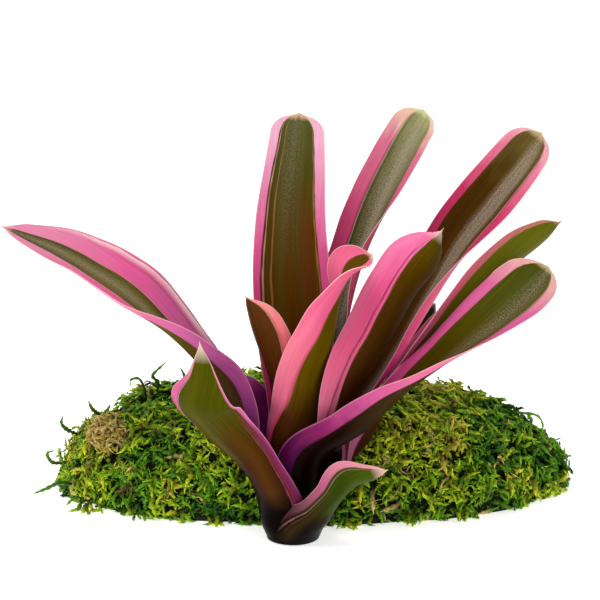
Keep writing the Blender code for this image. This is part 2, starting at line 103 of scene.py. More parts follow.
def blade_surface(stations, tip, fold, end):
    """Points of the blade from base to tip, with the place of each across and along in mm.

    A station is x, y, z, width, how far the channel is rolled and the bearing it opens to, in
    degrees. tip is the share of the length that tapers and how bluntly. fold is where the right
    margin turns in and over what share. end is the height of the shoulders, nib and tears.
    """
    stations = np.array(stations, float)
    places = path_places(stations[:, :3])
    length = places[-1]
    part = 1 - (1 - np.linspace(0, 1, BLADE_ROWS + 1)) ** TIP_CROWDING
    along = part * length
    rails = curve_through(places, stations, along)

    span = np.clip(np.minimum(along, length - along), 0.5, DIRECTION_SPAN)
    ahead = curve_through(places, stations, np.clip(along + span, 0, length))[:, :3]
    behind = curve_through(places, stations, np.clip(along - span, 0, length))[:, :3]
    free = smooth_step(np.clip(along / UPRIGHT_BASE, 0, 1)[:, None])
    forward = unit(unit(ahead - behind) * free + np.array([0.0, 0.0, 1.0]) * (1 - free))
    bearing = np.radians(rails[:, 5])
    facing = np.stack([np.cos(bearing), np.sin(bearing), np.zeros_like(bearing)], 1)
    inward = unit(facing - (facing * forward).sum(1)[:, None] * forward)
    across = np.cross(forward, inward)

    tip_share, tip_power = tip
    taper = np.clip((part - 1 + tip_share) / tip_share, 0, 1)
    width = np.maximum(rails[:, 3] * (1 - taper**2) ** tip_power, NARROWEST)

    # Each row is an arc, walked in small steps from its left margin and centred on the rail.
    edges = np.linspace(-1, 1, BLADE_COLUMNS * ARC_STEPS + 1)
    middles = (edges[1:] + edges[:-1]) / 2
    angle = np.radians(rails[:, 4:5]) / 2 * middles
    if fold:
        strength = np.exp(-(((part - fold[0]) / fold[1]) ** 2))[:, None]
        outer = np.clip((middles - FOLD_START) / (1 - FOLD_START), 0, 1)
        angle = angle + math.radians(FOLD_TURN) * strength * smooth_step(outer)
    step = width[:, None] / 2 * (edges[1] - edges[0])
    walked = np.cumsum(np.stack([np.cos(angle), np.sin(angle)]) * step, axis=2)
    walked = np.pad(walked, ((0, 0), (0, 0), (1, 0)))
    sideways, rise = (walked - walked[:, :, [len(edges) // 2]])[:, :, ::ARC_STEPS]

    seat = edges[::ARC_STEPS]
    grown = np.minimum(1, along / RIPPLE_GROWN) * np.minimum(1, (length - along) / RIPPLE_FADE)
    wave = along[:, None] / RIPPLE_LENGTH * 2 * math.pi + RIPPLE_LAG * np.sign(seat)
    rise = rise + RIPPLE_HEIGHT * grown[:, None] * np.abs(seat) ** 4 * np.sin(wave)
    points = rails[:, None, :3] + sideways[..., None] * across[:, None]
    points = points + rise[..., None] * inward[:, None]

    # The very end of the blade: raised shoulders, a nib in the middle and a torn edge.
    shoulder, nib, tear = end
    last_part = np.clip(1 - (length - along) / END_LENGTH, 0, 1)[:, None] ** 2
    off_middle = seat * width[:, None] / 2
    push = shoulder * np.clip(2 * np.abs(off_middle) / width.max(), 0, 1) ** 2
    push += nib * np.clip(1 - np.abs(off_middle) / NIB_WIDTH, 0, 1)
    teeth = np.sin(off_middle * TEAR_WAVES[0] + 1.0) * np.sin(off_middle * TEAR_WAVES[1])
    push += tear * last_part**2 * teeth
    points += (last_part * push)[..., None] * forward[:, None]
    return points, part, along, seat, width


def make_mesh(name, points, faces, materials):
    """Smooth object from points in mm and a list of face arrays, with one row for each face."""
    mesh = bpy.data.meshes.new(name)
    mesh.vertices.add(len(points))
    mesh.vertices.foreach_set("co", (points * MM).astype(np.float32).ravel())
    sizes = np.concatenate([np.full(len(group), group.shape[1]) for group in faces])
    loops = np.concatenate([group.ravel() for group in faces])
    mesh.loops.add(len(loops))
    mesh.loops.foreach_set("vertex_index", loops.astype(np.int32))
    mesh.polygons.add(len(sizes))
    starts = np.concatenate([[0], np.cumsum(sizes)[:-1]])
    mesh.polygons.foreach_set("loop_start", starts.astype(np.int32))
    mesh.polygons.foreach_set("use_smooth", np.full(len(sizes), True))
    for material in materials:
        mesh.materials.append(material)
    mesh.update(calc_edges=True)
    mesh.validate()
    obj = bpy.data.objects.new(name, mesh)
    bpy.context.scene.collection.objects.link(obj)
    return obj, loops


def mark(obj, loops, layer, values):
    """UV layer that gives each corner of the faces the pair of values of its point."""
    uv = obj.data.uv_layers.new(name=layer)
    uv.data.foreach_set("uv", values.reshape(-1, 2)[loops].astype(np.float32).ravel())


def carry(obj, node):
    """The piece stands for the node and rides on the root."""
    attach(obj, "root")
    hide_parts(node)


def grow_leaf(place, stations, tip, upper, under, fold=None, end=(0.0, 0.0, 0.0)):
    """Blade with its two skins and thinner margins, in place of its solid.

    The under skin has the upper one's dry tip unless it gives its own.
    """
    points, part, along, seat, width = blade_surface(stations, tip, fold, end)
    rows, columns = points.shape[:2]
    order = np.arange(rows * columns).reshape(rows, columns)
    corners = np.stack([order[:-1, :-1], order[:-1, 1:], order[1:, 1:], order[1:, :-1]], -1)
    under = {"roughness": UNDER_ROUGHNESS, "tip": upper["tip"]} | under
    skins = [
        leaf_skin(f"living_leaf_{place}_upper_skin", **upper),
        leaf_skin(f"living_leaf_{place}_under_skin", **under),
    ]
    faces = [corners.reshape(-1, 4)]
    obj, loops = make_mesh(place + "_leaf", points.reshape(-1, 3), faces, skins)
    share = np.stack(np.broadcast_arrays((seat + 1) / 2, part[:, None]), -1)
    real = np.stack(np.broadcast_arrays(seat * width[:, None] / 2, along[:, None]), -1)
    mark(obj, loops, "blade", share)
    mark(obj, loops, "blade_mm", real)

    body = obj.vertex_groups.new(name="body")
    toward_tip = np.clip((1 - part) / THIN_TIP_SHARE, 0, 1)[:, None]
    fullness = 1 - MARGIN_THINNING * np.abs(seat) ** 6
    fullness = fullness * (1 - TIP_THINNING + TIP_THINNING * toward_tip)
    for index, weight in enumerate(fullness.ravel()):
        body.add([index], float(weight), "REPLACE")
    solidify = obj.modifiers.new("thickness", "SOLIDIFY")
    solidify.thickness = BLADE_THICKNESS * MM
    solidify.offset = 0.0
    solidify.vertex_group = "body"
    solidify.material_offset = 1

    bpy.context.view_layer.update()
    graph = bpy.context.evaluated_depsgraph_get()
    blade = bpy.data.meshes.new_from_object(obj.evaluated_get(graph))
    obj.modifiers.clear()
    obj.vertex_groups.clear()
    obj.data = blade
    blade.polygons.foreach_set("use_smooth", np.ones(len(blade.polygons), bool))
    blade.set_sharp_from_angle(angle=SHARP_FOLD)
    carry(obj, "leaf_" + place)


def linear(colour):
    """Linear colour with alpha from an sRGB hex value."""
    values = [int(colour[i : i + 2], 16) / 255 for i in (1, 3, 5)]
    return [v / 12.92 if v <= 0.04045 else ((v + 0.055) / 1.055) ** 2.4 for v in values] + [1.0]


def add_node(tree, kind, inputs=None, stops=None, out=None, **settings):
    """Adds a node and gives its first output in use, or the one that out names.

    inputs maps a socket to a value or to the output that feeds it. stops fill a colour ramp:
    each is a place with a grey value or an sRGB hex colour.
    """
    node = tree.nodes.new(kind)
    for key, value in settings.items():
        setattr(node, key, value)
    for key, value in (inputs or {}).items():
        if isinstance(value, bpy.types.NodeSocket):
            tree.links.new(value, node.inputs[key])
        else:
            node.inputs[key].default_value = value
    for index, (place, value) in enumerate(stops or ()):
        elements = node.color_ramp.elements
        if index == 0:
            elements.remove(elements[-1])
        stop = elements[0] if index == 0 else elements.new(place)
        stop.position = place
        stop.color = linear(value) if isinstance(value, str) else [value, value, value, 1.0]
    return node.outputs[out] if out else next(socket for socket in node.outputs if socket.enabled)


def new_material(name, values):
    """Material with plain values on its shader; gives its tree and the shader's sockets too."""
    material = bpy.data.materials.new(name)
    material.use_nodes = True
    tree = material.node_tree
    sockets = next(node for node in tree.nodes if node.type == "BSDF_PRINCIPLED").inputs
    for key, value in values.items():
        sockets[key].default_value = value
    return material, tree, sockets


RAMP = "ShaderNodeValToRGB"
NOISE = "ShaderNodeTexNoise"
MIX = "ShaderNodeMix"
MATH = "ShaderNodeMath"
VECTOR = "ShaderNodeVectorMath"
BUMP = "ShaderNodeBump"
STREAK = (0.9, 46.0, 3.0, 0.6)
DRIFT = (40.0, 26.0, 1.0, 0.5)
MOTTLE = (5.0, 11.0, 3.0, 0.5)
SCALE = (1.0, 0.7, 1.0, 0.5)
BAND_FRAY = 0.035
BAND_DRIFT = 0.05
HEIGHT_MOTTLE = 0.12
SKIN_RELIEF = 0.3
SILVER_SCALES = "#a89c88"
WHOLE_BLADE = ((0.0, 0.5), (1.0, 0.5))


def leaf_skin(
    name, bands, centre, margin, tip, stripes=(), silver=None, roughness=0.36, flare=WHOLE_BLADE
):
    """Living leaf skin: olive centre, pink margins that run in streaks along the blade.

    It looks satin and near matt, as a bright surround would veil so dark a skin with its shine.
    bands says where the left margin's pink ends, the olive begins and ends, and the right
    margin's pink begins; centre and margin give the two colours from base to tip, and tip the
    dry end's. A stripe runs along the blade: place, half width, colour, strength and the shares
    of the length where it begins and ends. silver is the strength of the pale scales, the place
    they gather on, its half width and where they begin. flare draws the pattern in towards the
    middle (above 0.5) or out (below) along the blade. Each pattern has its width and length
    in mm, its detail and its roughness; the scales are drawn coarser than real, so they show.
    """
    material, tree, sockets = new_material(name, {"Specular IOR Level": 0.02})
    place = add_node(tree, "ShaderNodeUVMap", uv_map="blade")
    across, along = add_node(tree, "ShaderNodeSeparateXYZ", {0: place}).node.outputs[:2]
    real = add_node(tree, "ShaderNodeUVMap", uv_map="blade_mm")
    patterns = []
    for wide, long, detail, rough in (STREAK, DRIFT, MOTTLE, SCALE):
        sized = {0: real, 1: (1 / wide, 1 / long, 1.0)}
        sized = add_node(tree, VECTOR, sized, operation="MULTIPLY")
        settings = {"Vector": sized, "Scale": 1.0, "Detail": detail, "Roughness": rough}
        patterns.append(add_node(tree, NOISE, settings))
    streaks, drift, mottle, scales = patterns

    middle = add_node(tree, MATH, {0: across, 1: 0.5}, operation="SUBTRACT")
    drawn = add_node(tree, RAMP, {0: along}, stops=flare)
    width = add_node(tree, MATH, {0: drawn, 1: 2.0}, operation="MULTIPLY")
    warped = {0: middle, 1: width, 2: 0.5 - BAND_DRIFT / 2}
    warped = add_node(tree, MATH, warped, operation="MULTIPLY_ADD")
    swayed = add_node(tree, MATH, {0: drift, 1: BAND_DRIFT, 2: warped}, operation="MULTIPLY_ADD")
    seat = add_node(tree, MATH, {0: streaks, 1: BAND_FRAY, 2: swayed}, operation="MULTIPLY_ADD")
    height = add_node(tree, MATH, {0: along, 1: HEIGHT_MOTTLE / 2}, operation="SUBTRACT")
    height = {0: mottle, 1: HEIGHT_MOTTLE, 2: height}
    height = add_node(tree, MATH, height, operation="MULTIPLY_ADD")

    tones = []
    for colours, low, high in (centre, 0.72, 1.2), (margin, 0.9, 1.06):
        tone = add_node(tree, RAMP, {0: height}, stops=colours)
        grain = add_node(tree, RAMP, {0: streaks}, stops=((0.3, low), (0.7, high)))
        tone = {0: 1.0, 6: tone, 7: grain}
        tones.append(add_node(tree, MIX, tone, data_type="RGBA", blend_type="MULTIPLY"))
    left, begin, end, right = bands
    pinkness = ((0.0, 1.0), (left, 1.0), (begin, 0.0), (end, 0.0), (right, 1.0))
    pinkness = add_node(tree, RAMP, {0: seat}, stops=pinkness)
    skin = add_node(tree, MIX, {0: pinkness, 6: tones[0], 7: tones[1]}, data_type="RGBA")
    for place, half, colour, strength, begin, end in stripes:
        line = ((max(place - half, 0.0), 0.0), (place, strength), (min(place + half, 1.0), 0.0))
        line = add_node(tree, RAMP, {0: seat}, stops=line)
        rise, fall = (max(begin - 0.1, 0.0), 0.0), (min(end + 0.12, 1.0), 0.0)
        reach = (rise, (begin, 1.0), (end, 1.0), fall)
        reach = add_node(tree, RAMP, {0: along}, stops=reach)
        amount = add_node(tree, MATH, {0: line, 1: reach}, operation="MULTIPLY")
        skin = add_node(tree, MIX, {0: amount, 6: skin, 7: linear(colour)}, data_type="RGBA")

    if silver:
        strength, place, half, begin = silver
        amount = add_node(tree, RAMP, {0: scales}, stops=((0.35, 0.0), (0.65, strength)))
        gather = ((max(place - half, 0), 0.0), (place, 1.0), (place + half, 0.0))
        gather = add_node(tree, RAMP, {0: seat}, stops=gather)
        grown = ((begin - 0.15, 0.0), (begin + 0.15, 1.0))
        grown = add_node(tree, RAMP, {0: along}, stops=grown)
        for other in (gather, grown):
            amount = add_node(tree, VECTOR, {0: amount, 1: other}, operation="MULTIPLY")
        skin = add_node(tree, MIX, {0: amount, 6: skin, 7: linear(SILVER_SCALES)}, data_type="RGBA")

    edge = ((0.0, 0.8), (0.014, 0.0), (0.986, 0.0), (1.0, 0.8))
    edge = add_node(tree, RAMP, {0: across}, stops=edge)
    cream = ((0.1, "#6a3450"), (0.45, "#dc92a4"), (0.9, "#efd0bc"))
    cream = add_node(tree, RAMP, {0: along}, stops=cream)
    skin = add_node(tree, MIX, {0: edge, 6: skin, 7: cream}, data_type="RGBA")
    dry = add_node(tree, RAMP, {0: along}, stops=((tip[1], 0.0), (1.0, 0.95)))
    skin = add_node(tree, MIX, {0: dry, 6: skin, 7: linear(tip[0])}, data_type="RGBA")
    tree.links.new(skin, sockets["Base Color"])

    satin = {"Value": streaks, "From Min": 0.3, "From Max": 0.7}
    satin |= {"To Min": roughness - 0.05, "To Max": roughness + 0.1}
    tree.links.new(add_node(tree, "ShaderNodeMapRange", satin), sockets["Roughness"])
    relief = add_node(tree, MATH, {0: scales, 1: 0.25, 2: streaks}, operation="MULTIPLY_ADD")
    bump = {"Strength": 0.3, "Distance": SKIN_RELIEF * MM, "Height": relief}
    tree.links.new(add_node(tree, BUMP, bump), sockets["Normal"])
    return material


grow_leaf(
    "low_front_right",
    stations=(
        (4.5, -12.4, 0.8, 53, 230, 110), (5.6, -15.4, 5, 52.7, 215, 110),
        (12.6, -23, 17.7, 28, 150, 114), (21.5, -29, 31.1, 25, 125, 128),
        (29.9, -32, 42.1, 26, 100, 130), (38.3, -34, 45.4, 12, 80, 138),
        (45.6, -35, 47.9, 5, 58, 146),
    ),
    tip=(0.08, 0.5),
    end=(0.0, 1.2, 0.9),
    upper=dict(
        bands=(0.1, 0.16, 0.84, 0.9),
        centre=((0, "#120404"), (0.4, "#2c1a08"), (0.7, "#3c3a08")),
        margin=((0, "#2a0a18"), (0.5, "#c87088"), (0.9, "#d890a0")),
        tip=("#e4c0b0", 0.975),
    ),
    under=dict(
        bands=(0.05, 0.07, 0.84, 0.88),
        centre=(
            (0, "#030000"), (0.16, "#080200"), (0.28, "#1c1000"), (0.42, "#283200"),
            (0.7, "#2e4000"), (0.92, "#465204"),
        ),
        margin=(
            (0, "#140406"), (0.2, "#48282c"), (0.4, "#7c4854"), (0.62, "#b0587a"),
            (0.85, "#d88c98"),
        ),
        tip=("#eab8b8", 0.9),
        stripes=(
            (0.68, 0.12, "#3c2a10", 0.7, 0.12, 0.5), (0.8, 0.016, "#b8847c", 0.5, 0.2, 0.85),
            (0.845, 0.02, "#4c2038", 0.5, 0.2, 0.9), (0.745, 0.01, "#8c6450", 0.3, 0.2, 0.6),
            (0.4, 0.16, "#3c5408", 0.5, 0.45, 0.9),
        ),
        roughness=0.3,
    ),
)


# Low leaf at the left front, an old strap clasping the stem foot. Its channel opens away from
# the viewer, so its olive back shows, with a pink margin folded out on the left; the clasping
# base is almost black.

grow_leaf(
    "low_front_left",
    stations=(
        (-11.4, -7.1, 2.2, 40.9, 175, 32), (-13.9, -8.7, 9, 45.3, 176, 32),
        (-15.1, -9.4, 18, 49.1, 170, 32), (-23.9, -21, 45.7, 37, 130, 49),
        (-39.4, -30, 67.5, 40, 98, 54), (-46.9, -37, 81.1, 40, 75, 60),
        (-45.1, -40, 97.4, 18, 70, 66), (-45.1, -37, 112.7, 4, 90, 62),
    ),
    tip=(0.08, 0.5),
    end=(0.0, 1.5, 0.9),
    upper=dict(
        bands=(0.12, 0.16, 0.84, 0.9),
        centre=((0, "#1a0508"), (0.5, "#3c1508"), (1, "#4a3a08")),
        margin=((0, "#2a0620"), (0.4, "#8c2058"), (0.8, "#d878a0")),
        tip=("#e8cfc0", 0.975),
    ),
    under=dict(
        bands=(0.05, 0.07, 0.83, 0.86),
        centre=(
            (0, "#030000"), (0.2, "#0c0101"), (0.25, "#260606"), (0.36, "#361204"),
            (0.48, "#3e2a00"), (0.6, "#463c00"), (0.75, "#454600"), (0.95, "#4c4c02"),
        ),
        margin=(
            (0, "#100306"), (0.2, "#4a1634"), (0.4, "#a03c74"), (0.6, "#cc5a98"), (0.8, "#cc5c90"),
            (0.93, "#d88c98"),
        ),
        tip=("#e4ccb8", 0.93),
        stripes=(
            (0.83, 0.012, "#e0a8a0", 0.6, 0.2, 0.95), (0.05, 0.09, "#7c2858", 0.95, 0.12, 0.46),
            (0.13, 0.012, "#a05060", 0.6, 0.15, 0.5), (0.3, 0.2, "#583408", 0.7, 0.25, 0.5),
            (0.1, 0.02, "#8a3030", 0.6, 0.15, 0.6), (0.62, 0.14, "#5a5602", 0.4, 0.45, 0.85),
        ),
        roughness=0.3,
    ),
)


# Short leaf at the right rear, clasping the stem low down behind the others. Only the upper
# edge of its green strap and its dry tip come out between the longer leaves.

grow_leaf(
    "right_rear",
    stations=(
        (9.9, 10.2, 5, 32.2, 130, 226), (15.6, 16.2, 24, 36.1, 115, 226),
        (36.7, 21, 41.6, 34, 108, 177), (48.7, 29, 60.2, 31, 93, 183),
        (58.2, 36, 74.9, 28, 73, 196), (64.6, 44, 88.8, 25, 59, 209),
        (70.5, 50, 100.7, 20, 59, 212), (74.3, 54, 109.9, 10, 60, 214),
    ),
    tip=(0.1, 0.6),
    upper=dict(
        bands=(0.14, 0.18, 0.82, 0.86),
        centre=((0, "#1a0608"), (0.4, "#2c1808"), (0.8, "#2c3c08")),
        margin=((0, "#3a0a28"), (0.5, "#b04868"), (0.9, "#d88090")),
        tip=("#dcb8a0", 0.975),
    ),
    under=dict(
        bands=(0.1, 0.14, 0.84, 0.88),
        centre=(
            (0, "#0c0304"), (0.3, "#260c06"), (0.45, "#36180a"), (0.6, "#3a2008"),
            (0.75, "#2c3c06"), (0.9, "#3c4c0a"),
        ),
        margin=((0, "#2a0818"), (0.3, "#8c4464"), (0.5, "#b05c7c"), (0.9, "#d89c90")),
    ),
)


# Long leaf between the tall right one and the front right one. A green strap edged with dull
# pink and brown lines, which clasps the stem and ends in a hair-fine dry point.

grow_leaf(
    "right_middle",
    stations=(
        (12.5, 2.9, 7, 24.6, 110, 193), (19.9, 4.6, 28, 29.7, 100, 193),
        (27.4, 6.3, 45, 33.8, 95, 193), (31.9, 16, 54.1, 10, 149, 143),
        (52.8, 7, 83.1, 16, 133, 167), (74.4, 1, 110.7, 31, 113, 170),
        (96.6, 2, 132.7, 35, 108, 162), (114.9, 9, 148.5, 28, 98, 159),
        (134.2, 20, 160.8, 10, 60, 159),
    ),
    tip=(0.05, 0.7),
    end=(0.0, 1.8, 0.5),
    upper=dict(
        bands=(0.17, 0.2, 0.84, 0.87),
        centre=((0, "#200810"), (0.4, "#3a1c08"), (0.6, "#40300a"), (0.9, "#4a480a")),
        margin=(
            (0, "#4a0c30"), (0.35, "#983058"), (0.5, "#b4486c"), (0.7, "#b84c74"),
            (0.95, "#c47c7c"),
        ),
        tip=("#d8a0a0", 0.96),
        stripes=(
            (0.21, 0.012, "#a87860", 0.7, 0.3, 0.95), (0.29, 0.02, "#8c5c38", 0.6, 0.3, 0.9),
            (0.25, 0.03, "#4a1c08", 0.8, 0.3, 0.9), (0.34, 0.03, "#3c1c06", 0.7, 0.3, 0.85),
        ),
    ),
    under=dict(
        bands=(0.1, 0.14, 0.9, 0.93),
        centre=((0, "#1c0808"), (0.4, "#3a2606"), (0.6, "#4a4404"), (0.9, "#5c5c0a")),
        margin=((0, "#4a0c30"), (0.4, "#a0406a"), (0.7, "#b85068"), (0.95, "#b07060")),
        tip=("#c08878", 0.985),
    ),
)


# Tallest leaf on the right, rising from the heart of the rosette. Its upper side shows: brown olive
# with pale scales and a painted sheen to the right of the middle, pink margins, and the right one
# turned in.

grow_leaf(
    "right_tall",
    stations=(
        (6.1, 9.8, 9, 24.3, 120, 238), (9.2, 14.7, 28, 29.6, 110, 238),
        (12.1, 19.4, 45, 34.5, 105, 238), (32.2, 33, 61.7, 27, 101, 216),
        (52, 40, 87.3, 31, 93, 215), (68.9, 43, 117.7, 35, 90, 216), (86.8, 48, 147.9, 35, 71, 221),
        (107.1, 50, 174.4, 33, 50, 229), (126.8, 53, 200, 27, 45, 232),
    ),
    tip=(0.05, 0.5),
    fold=(0.5, 0.17),
    end=(3.4, 1.4, 0.0),
    upper=dict(
        bands=(0.12, 0.14, 0.86, 0.89),
        centre=(
            (0, "#1c060c"), (0.3, "#3a1406"), (0.5, "#4a2c08"), (0.7, "#4a2c02"), (0.85, "#483002"),
            (0.97, "#605024"),
        ),
        margin=(
            (0, "#4a0c38"), (0.3, "#98245c"), (0.5, "#b82c60"), (0.62, "#c03462"), (0.8, "#cc3868"),
            (0.93, "#dc7490"), (1, "#e8a8b0"),
        ),
        tip=("#cfae84", 0.985),
        # The broad pale grey bands right of the middle are the scales and a painted sheen.
        stripes=(
            (0.66, 0.19, "#9c8a78", 0.38, 0.32, 0.93), (0.56, 0.03, "#a48c74", 0.4, 0.6, 0.93),
            (0.74, 0.04, "#9c8468", 0.4, 0.5, 0.9), (0.3, 0.12, "#36200a", 0.4, 0.4, 0.9),
            (0.8, 0.05, "#4a3206", 0.6, 0.3, 0.95), (0.86, 0.012, "#e8a898", 0.6, 0.4, 0.97),
        ),
        flare=((0, 0.5), (0.4, 0.5), (0.7, 0.53), (1, 0.53)),
        silver=(0.62, 0.64, 0.2, 0.42),
    ),
    under=dict(
        bands=(0.06, 0.08, 0.84, 0.86),
        centre=((0, "#1c0808"), (0.4, "#33180a"), (0.9, "#3c2c08")),
        margin=((0, "#4a0c30"), (0.4, "#b02c68"), (0.55, "#dc5c80"), (0.9, "#d88090")),
    ),
)


# Long leaf at the right, nearest the viewer. It clasps the rosette in a deep channel, dark at
# the base, that opens into a broad green blade with pale scales.

grow_leaf(
    "right_front",
    stations=(
        (9.4, -4.4, 10.5, 39, 215, 155), (12.6, -5.9, 26, 49.5, 210, 155),
        (14.5, -6.8, 36, 56.3, 208, 155), (16, -7.5, 43, 57.8, 196, 155),
        (36.6, -17, 63.3, 48, 165, 157), (53.8, -19, 81.2, 41, 134, 169),
        (72.4, -20, 98.6, 38, 104, 187), (96, -16, 118.5, 38, 76, 211),
        (113.6, -9, 132.5, 36, 51, 223), (126.3, -3, 143.8, 28, 46, 227),
    ),
    tip=(0.06, 0.5),
    end=(1.0, 0.8, 0.2),
    upper=dict(
        bands=(0.16, 0.18, 0.83, 0.86),
        centre=(
            (0, "#0c0204"), (0.3, "#280a00"), (0.45, "#3c2402"), (0.6, "#443602"),
            (0.75, "#4a4402"), (0.9, "#444804"),
        ),
        margin=(
            (0, "#380828"), (0.25, "#8c1c50"), (0.42, "#b0346c"), (0.6, "#cc4c84"),
            (0.86, "#d8649a"), (0.97, "#dca49c"),
        ),
        tip=("#cbb488", 0.985),
        stripes=((0.7, 0.16, "#584620", 0.6, 0.45, 0.9), (0.83, 0.01, "#e0a090", 0.5, 0.4, 0.97)),
        flare=((0, 0.5), (0.5, 0.5), (1, 0.53)),
        silver=(0.4, 0.64, 0.22, 0.62),
    ),
    under=dict(
        bands=(0.03, 0.045, 0.85, 0.87),
        centre=(
            (0, "#050101"), (0.16, "#0c0202"), (0.3, "#1c0a04"), (0.4, "#2e1c04"), (0.6, "#3c2c06"),
            (0.9, "#403c08"),
        ),
        margin=(
            (0, "#20041a"), (0.2, "#500c40"), (0.3, "#8c2860"), (0.42, "#c05088"), (0.6, "#dc6c94"),
            (0.9, "#dc90a0"),
        ),
    ),
)


# Long leaf to the left, held by its sheath round the heart of the rosette. It lies open to the
# sky, with its pink turning to purple towards the base.

grow_leaf(
    "left_long",
    stations=(
        (-8.4, 3.6, 12, 28.3, 178, -23), (-17.2, 7.3, 28, 37.6, 175, -23),
        (-19.4, 8.2, 42, 44.3, 168, -23), (-24.6, 10.4, 52, 47.2, 158, -23),
        (-31.9, 2, 72, 48, 135, 9), (-45, 5, 88, 50, 125, 4), (-63.2, 9, 106.8, 50, 112, -6),
        (-82.3, 12, 123.3, 48, 100, -18), (-111.5, 16, 142.6, 36, 95, -17),
        (-146, 18, 159.2, 7, 60, -14),
    ),
    tip=(0.05, 0.7),
    end=(0.0, 1.0, 0.3),
    upper=dict(
        bands=(0.38, 0.4, 0.7, 0.72),
        centre=(
            (0, "#2a0618"), (0.3, "#3a1408"), (0.5, "#4a4006"), (0.7, "#584e16"), (0.9, "#4c4624"),
        ),
        margin=(
            (0, "#380428"), (0.16, "#4c0838"), (0.28, "#7c2060"), (0.4, "#9c4878"),
            (0.55, "#cc5c94"), (0.7, "#dc5c94"), (0.9, "#dc84a4"),
        ),
        tip=("#e4b4b0", 0.975),
        stripes=(
            (0.99, 0.06, "#f0d0c8", 0.95, 0.5, 0.8), (0.91, 0.014, "#6c5a2c", 0.7, 0.5, 0.64),
            (0.39, 0.012, "#dca088", 0.5, 0.3, 0.95), (0.71, 0.012, "#dca088", 0.5, 0.3, 0.95),
            (0.56, 0.1, "#84794a", 0.5, 0.5, 0.9),
        ),
        silver=(0.4, 0.54, 0.16, 0.5),
    ),
    under=dict(
        bands=(0.17, 0.19, 0.9, 0.93),
        centre=(
            (0, "#180408"), (0.2, "#2c0a08"), (0.4, "#4c3008"), (0.6, "#5c5408"), (0.9, "#6a5c14"),
        ),
        margin=(
            (0, "#30042c"), (0.2, "#5c1450"), (0.34, "#a04484"), (0.46, "#c8609c"),
            (0.6, "#dc6c9c"), (0.85, "#e4a4b4"),
        ),
        flare=((0, 0.5), (0.3, 0.5), (0.62, 0.5), (0.75, 0.6), (1, 0.62)),
    ),
)


# Narrow upright leaf at the back right, grey green under its pale scales. Its right margin
# turns in above the middle, and it grows from the heart behind the centre.

grow_leaf(
    "back_right",
    stations=(
        (1.4, 7.8, 13, 17.2, 125, 260), (2, 11.2, 28, 21.9, 115, 260),
        (2.4, 13.9, 42, 26.3, 110, 260), (12.8, 17, 78, 27, 97, 245),
        (21.5, 25, 108.2, 28, 88, 237), (30.3, 34, 135.5, 29, 89, 228),
        (39.6, 43, 159.7, 30, 75, 230), (51.5, 52, 184, 28, 50, 235),
        (66.9, 60, 210.7, 24, 45, 240),
    ),
    tip=(0.045, 0.5),
    fold=(0.58, 0.14),
    end=(2.0, 1.1, 0.0),
    upper=dict(
        bands=(0.27, 0.29, 0.86, 0.89),
        centre=(
            (0, "#1c060c"), (0.3, "#2c1a0a"), (0.45, "#24280a"), (0.7, "#44400f"),
            (0.85, "#645f38"), (0.95, "#7c7c4c"), (0.99, "#94985c"),
        ),
        margin=(
            (0, "#440a2c"), (0.25, "#9c3478"), (0.42, "#b45090"), (0.5, "#b43c68"),
            (0.7, "#c04470"), (0.9, "#d06c88"), (1, "#e0c0a8"),
        ),
        tip=("#c8cc90", 0.985),
        stripes=(
            (0.3, 0.012, "#d0a49c", 0.75, 0.2, 0.95), (0.265, 0.014, "#7c3048", 0.7, 0.2, 0.9),
            (0.66, 0.17, "#8c8268", 0.6, 0.45, 0.93), (0.34, 0.04, "#20300c", 0.6, 0.3, 0.95),
        ),
        silver=(0.6, 0.6, 0.32, 0.3),
    ),
    under=dict(
        bands=(0.06, 0.08, 0.84, 0.86),
        centre=((0, "#1c0808"), (0.4, "#2c1a08"), (0.9, "#3c3610")),
        margin=((0, "#440a2c"), (0.4, "#b03c60"), (0.6, "#cc5c74"), (0.9, "#d88090")),
    ),
)


# Upright leaf at the back in the middle: a brown olive strap with a double pale line by its
# left margin, clasped by the inner leaves at its base.

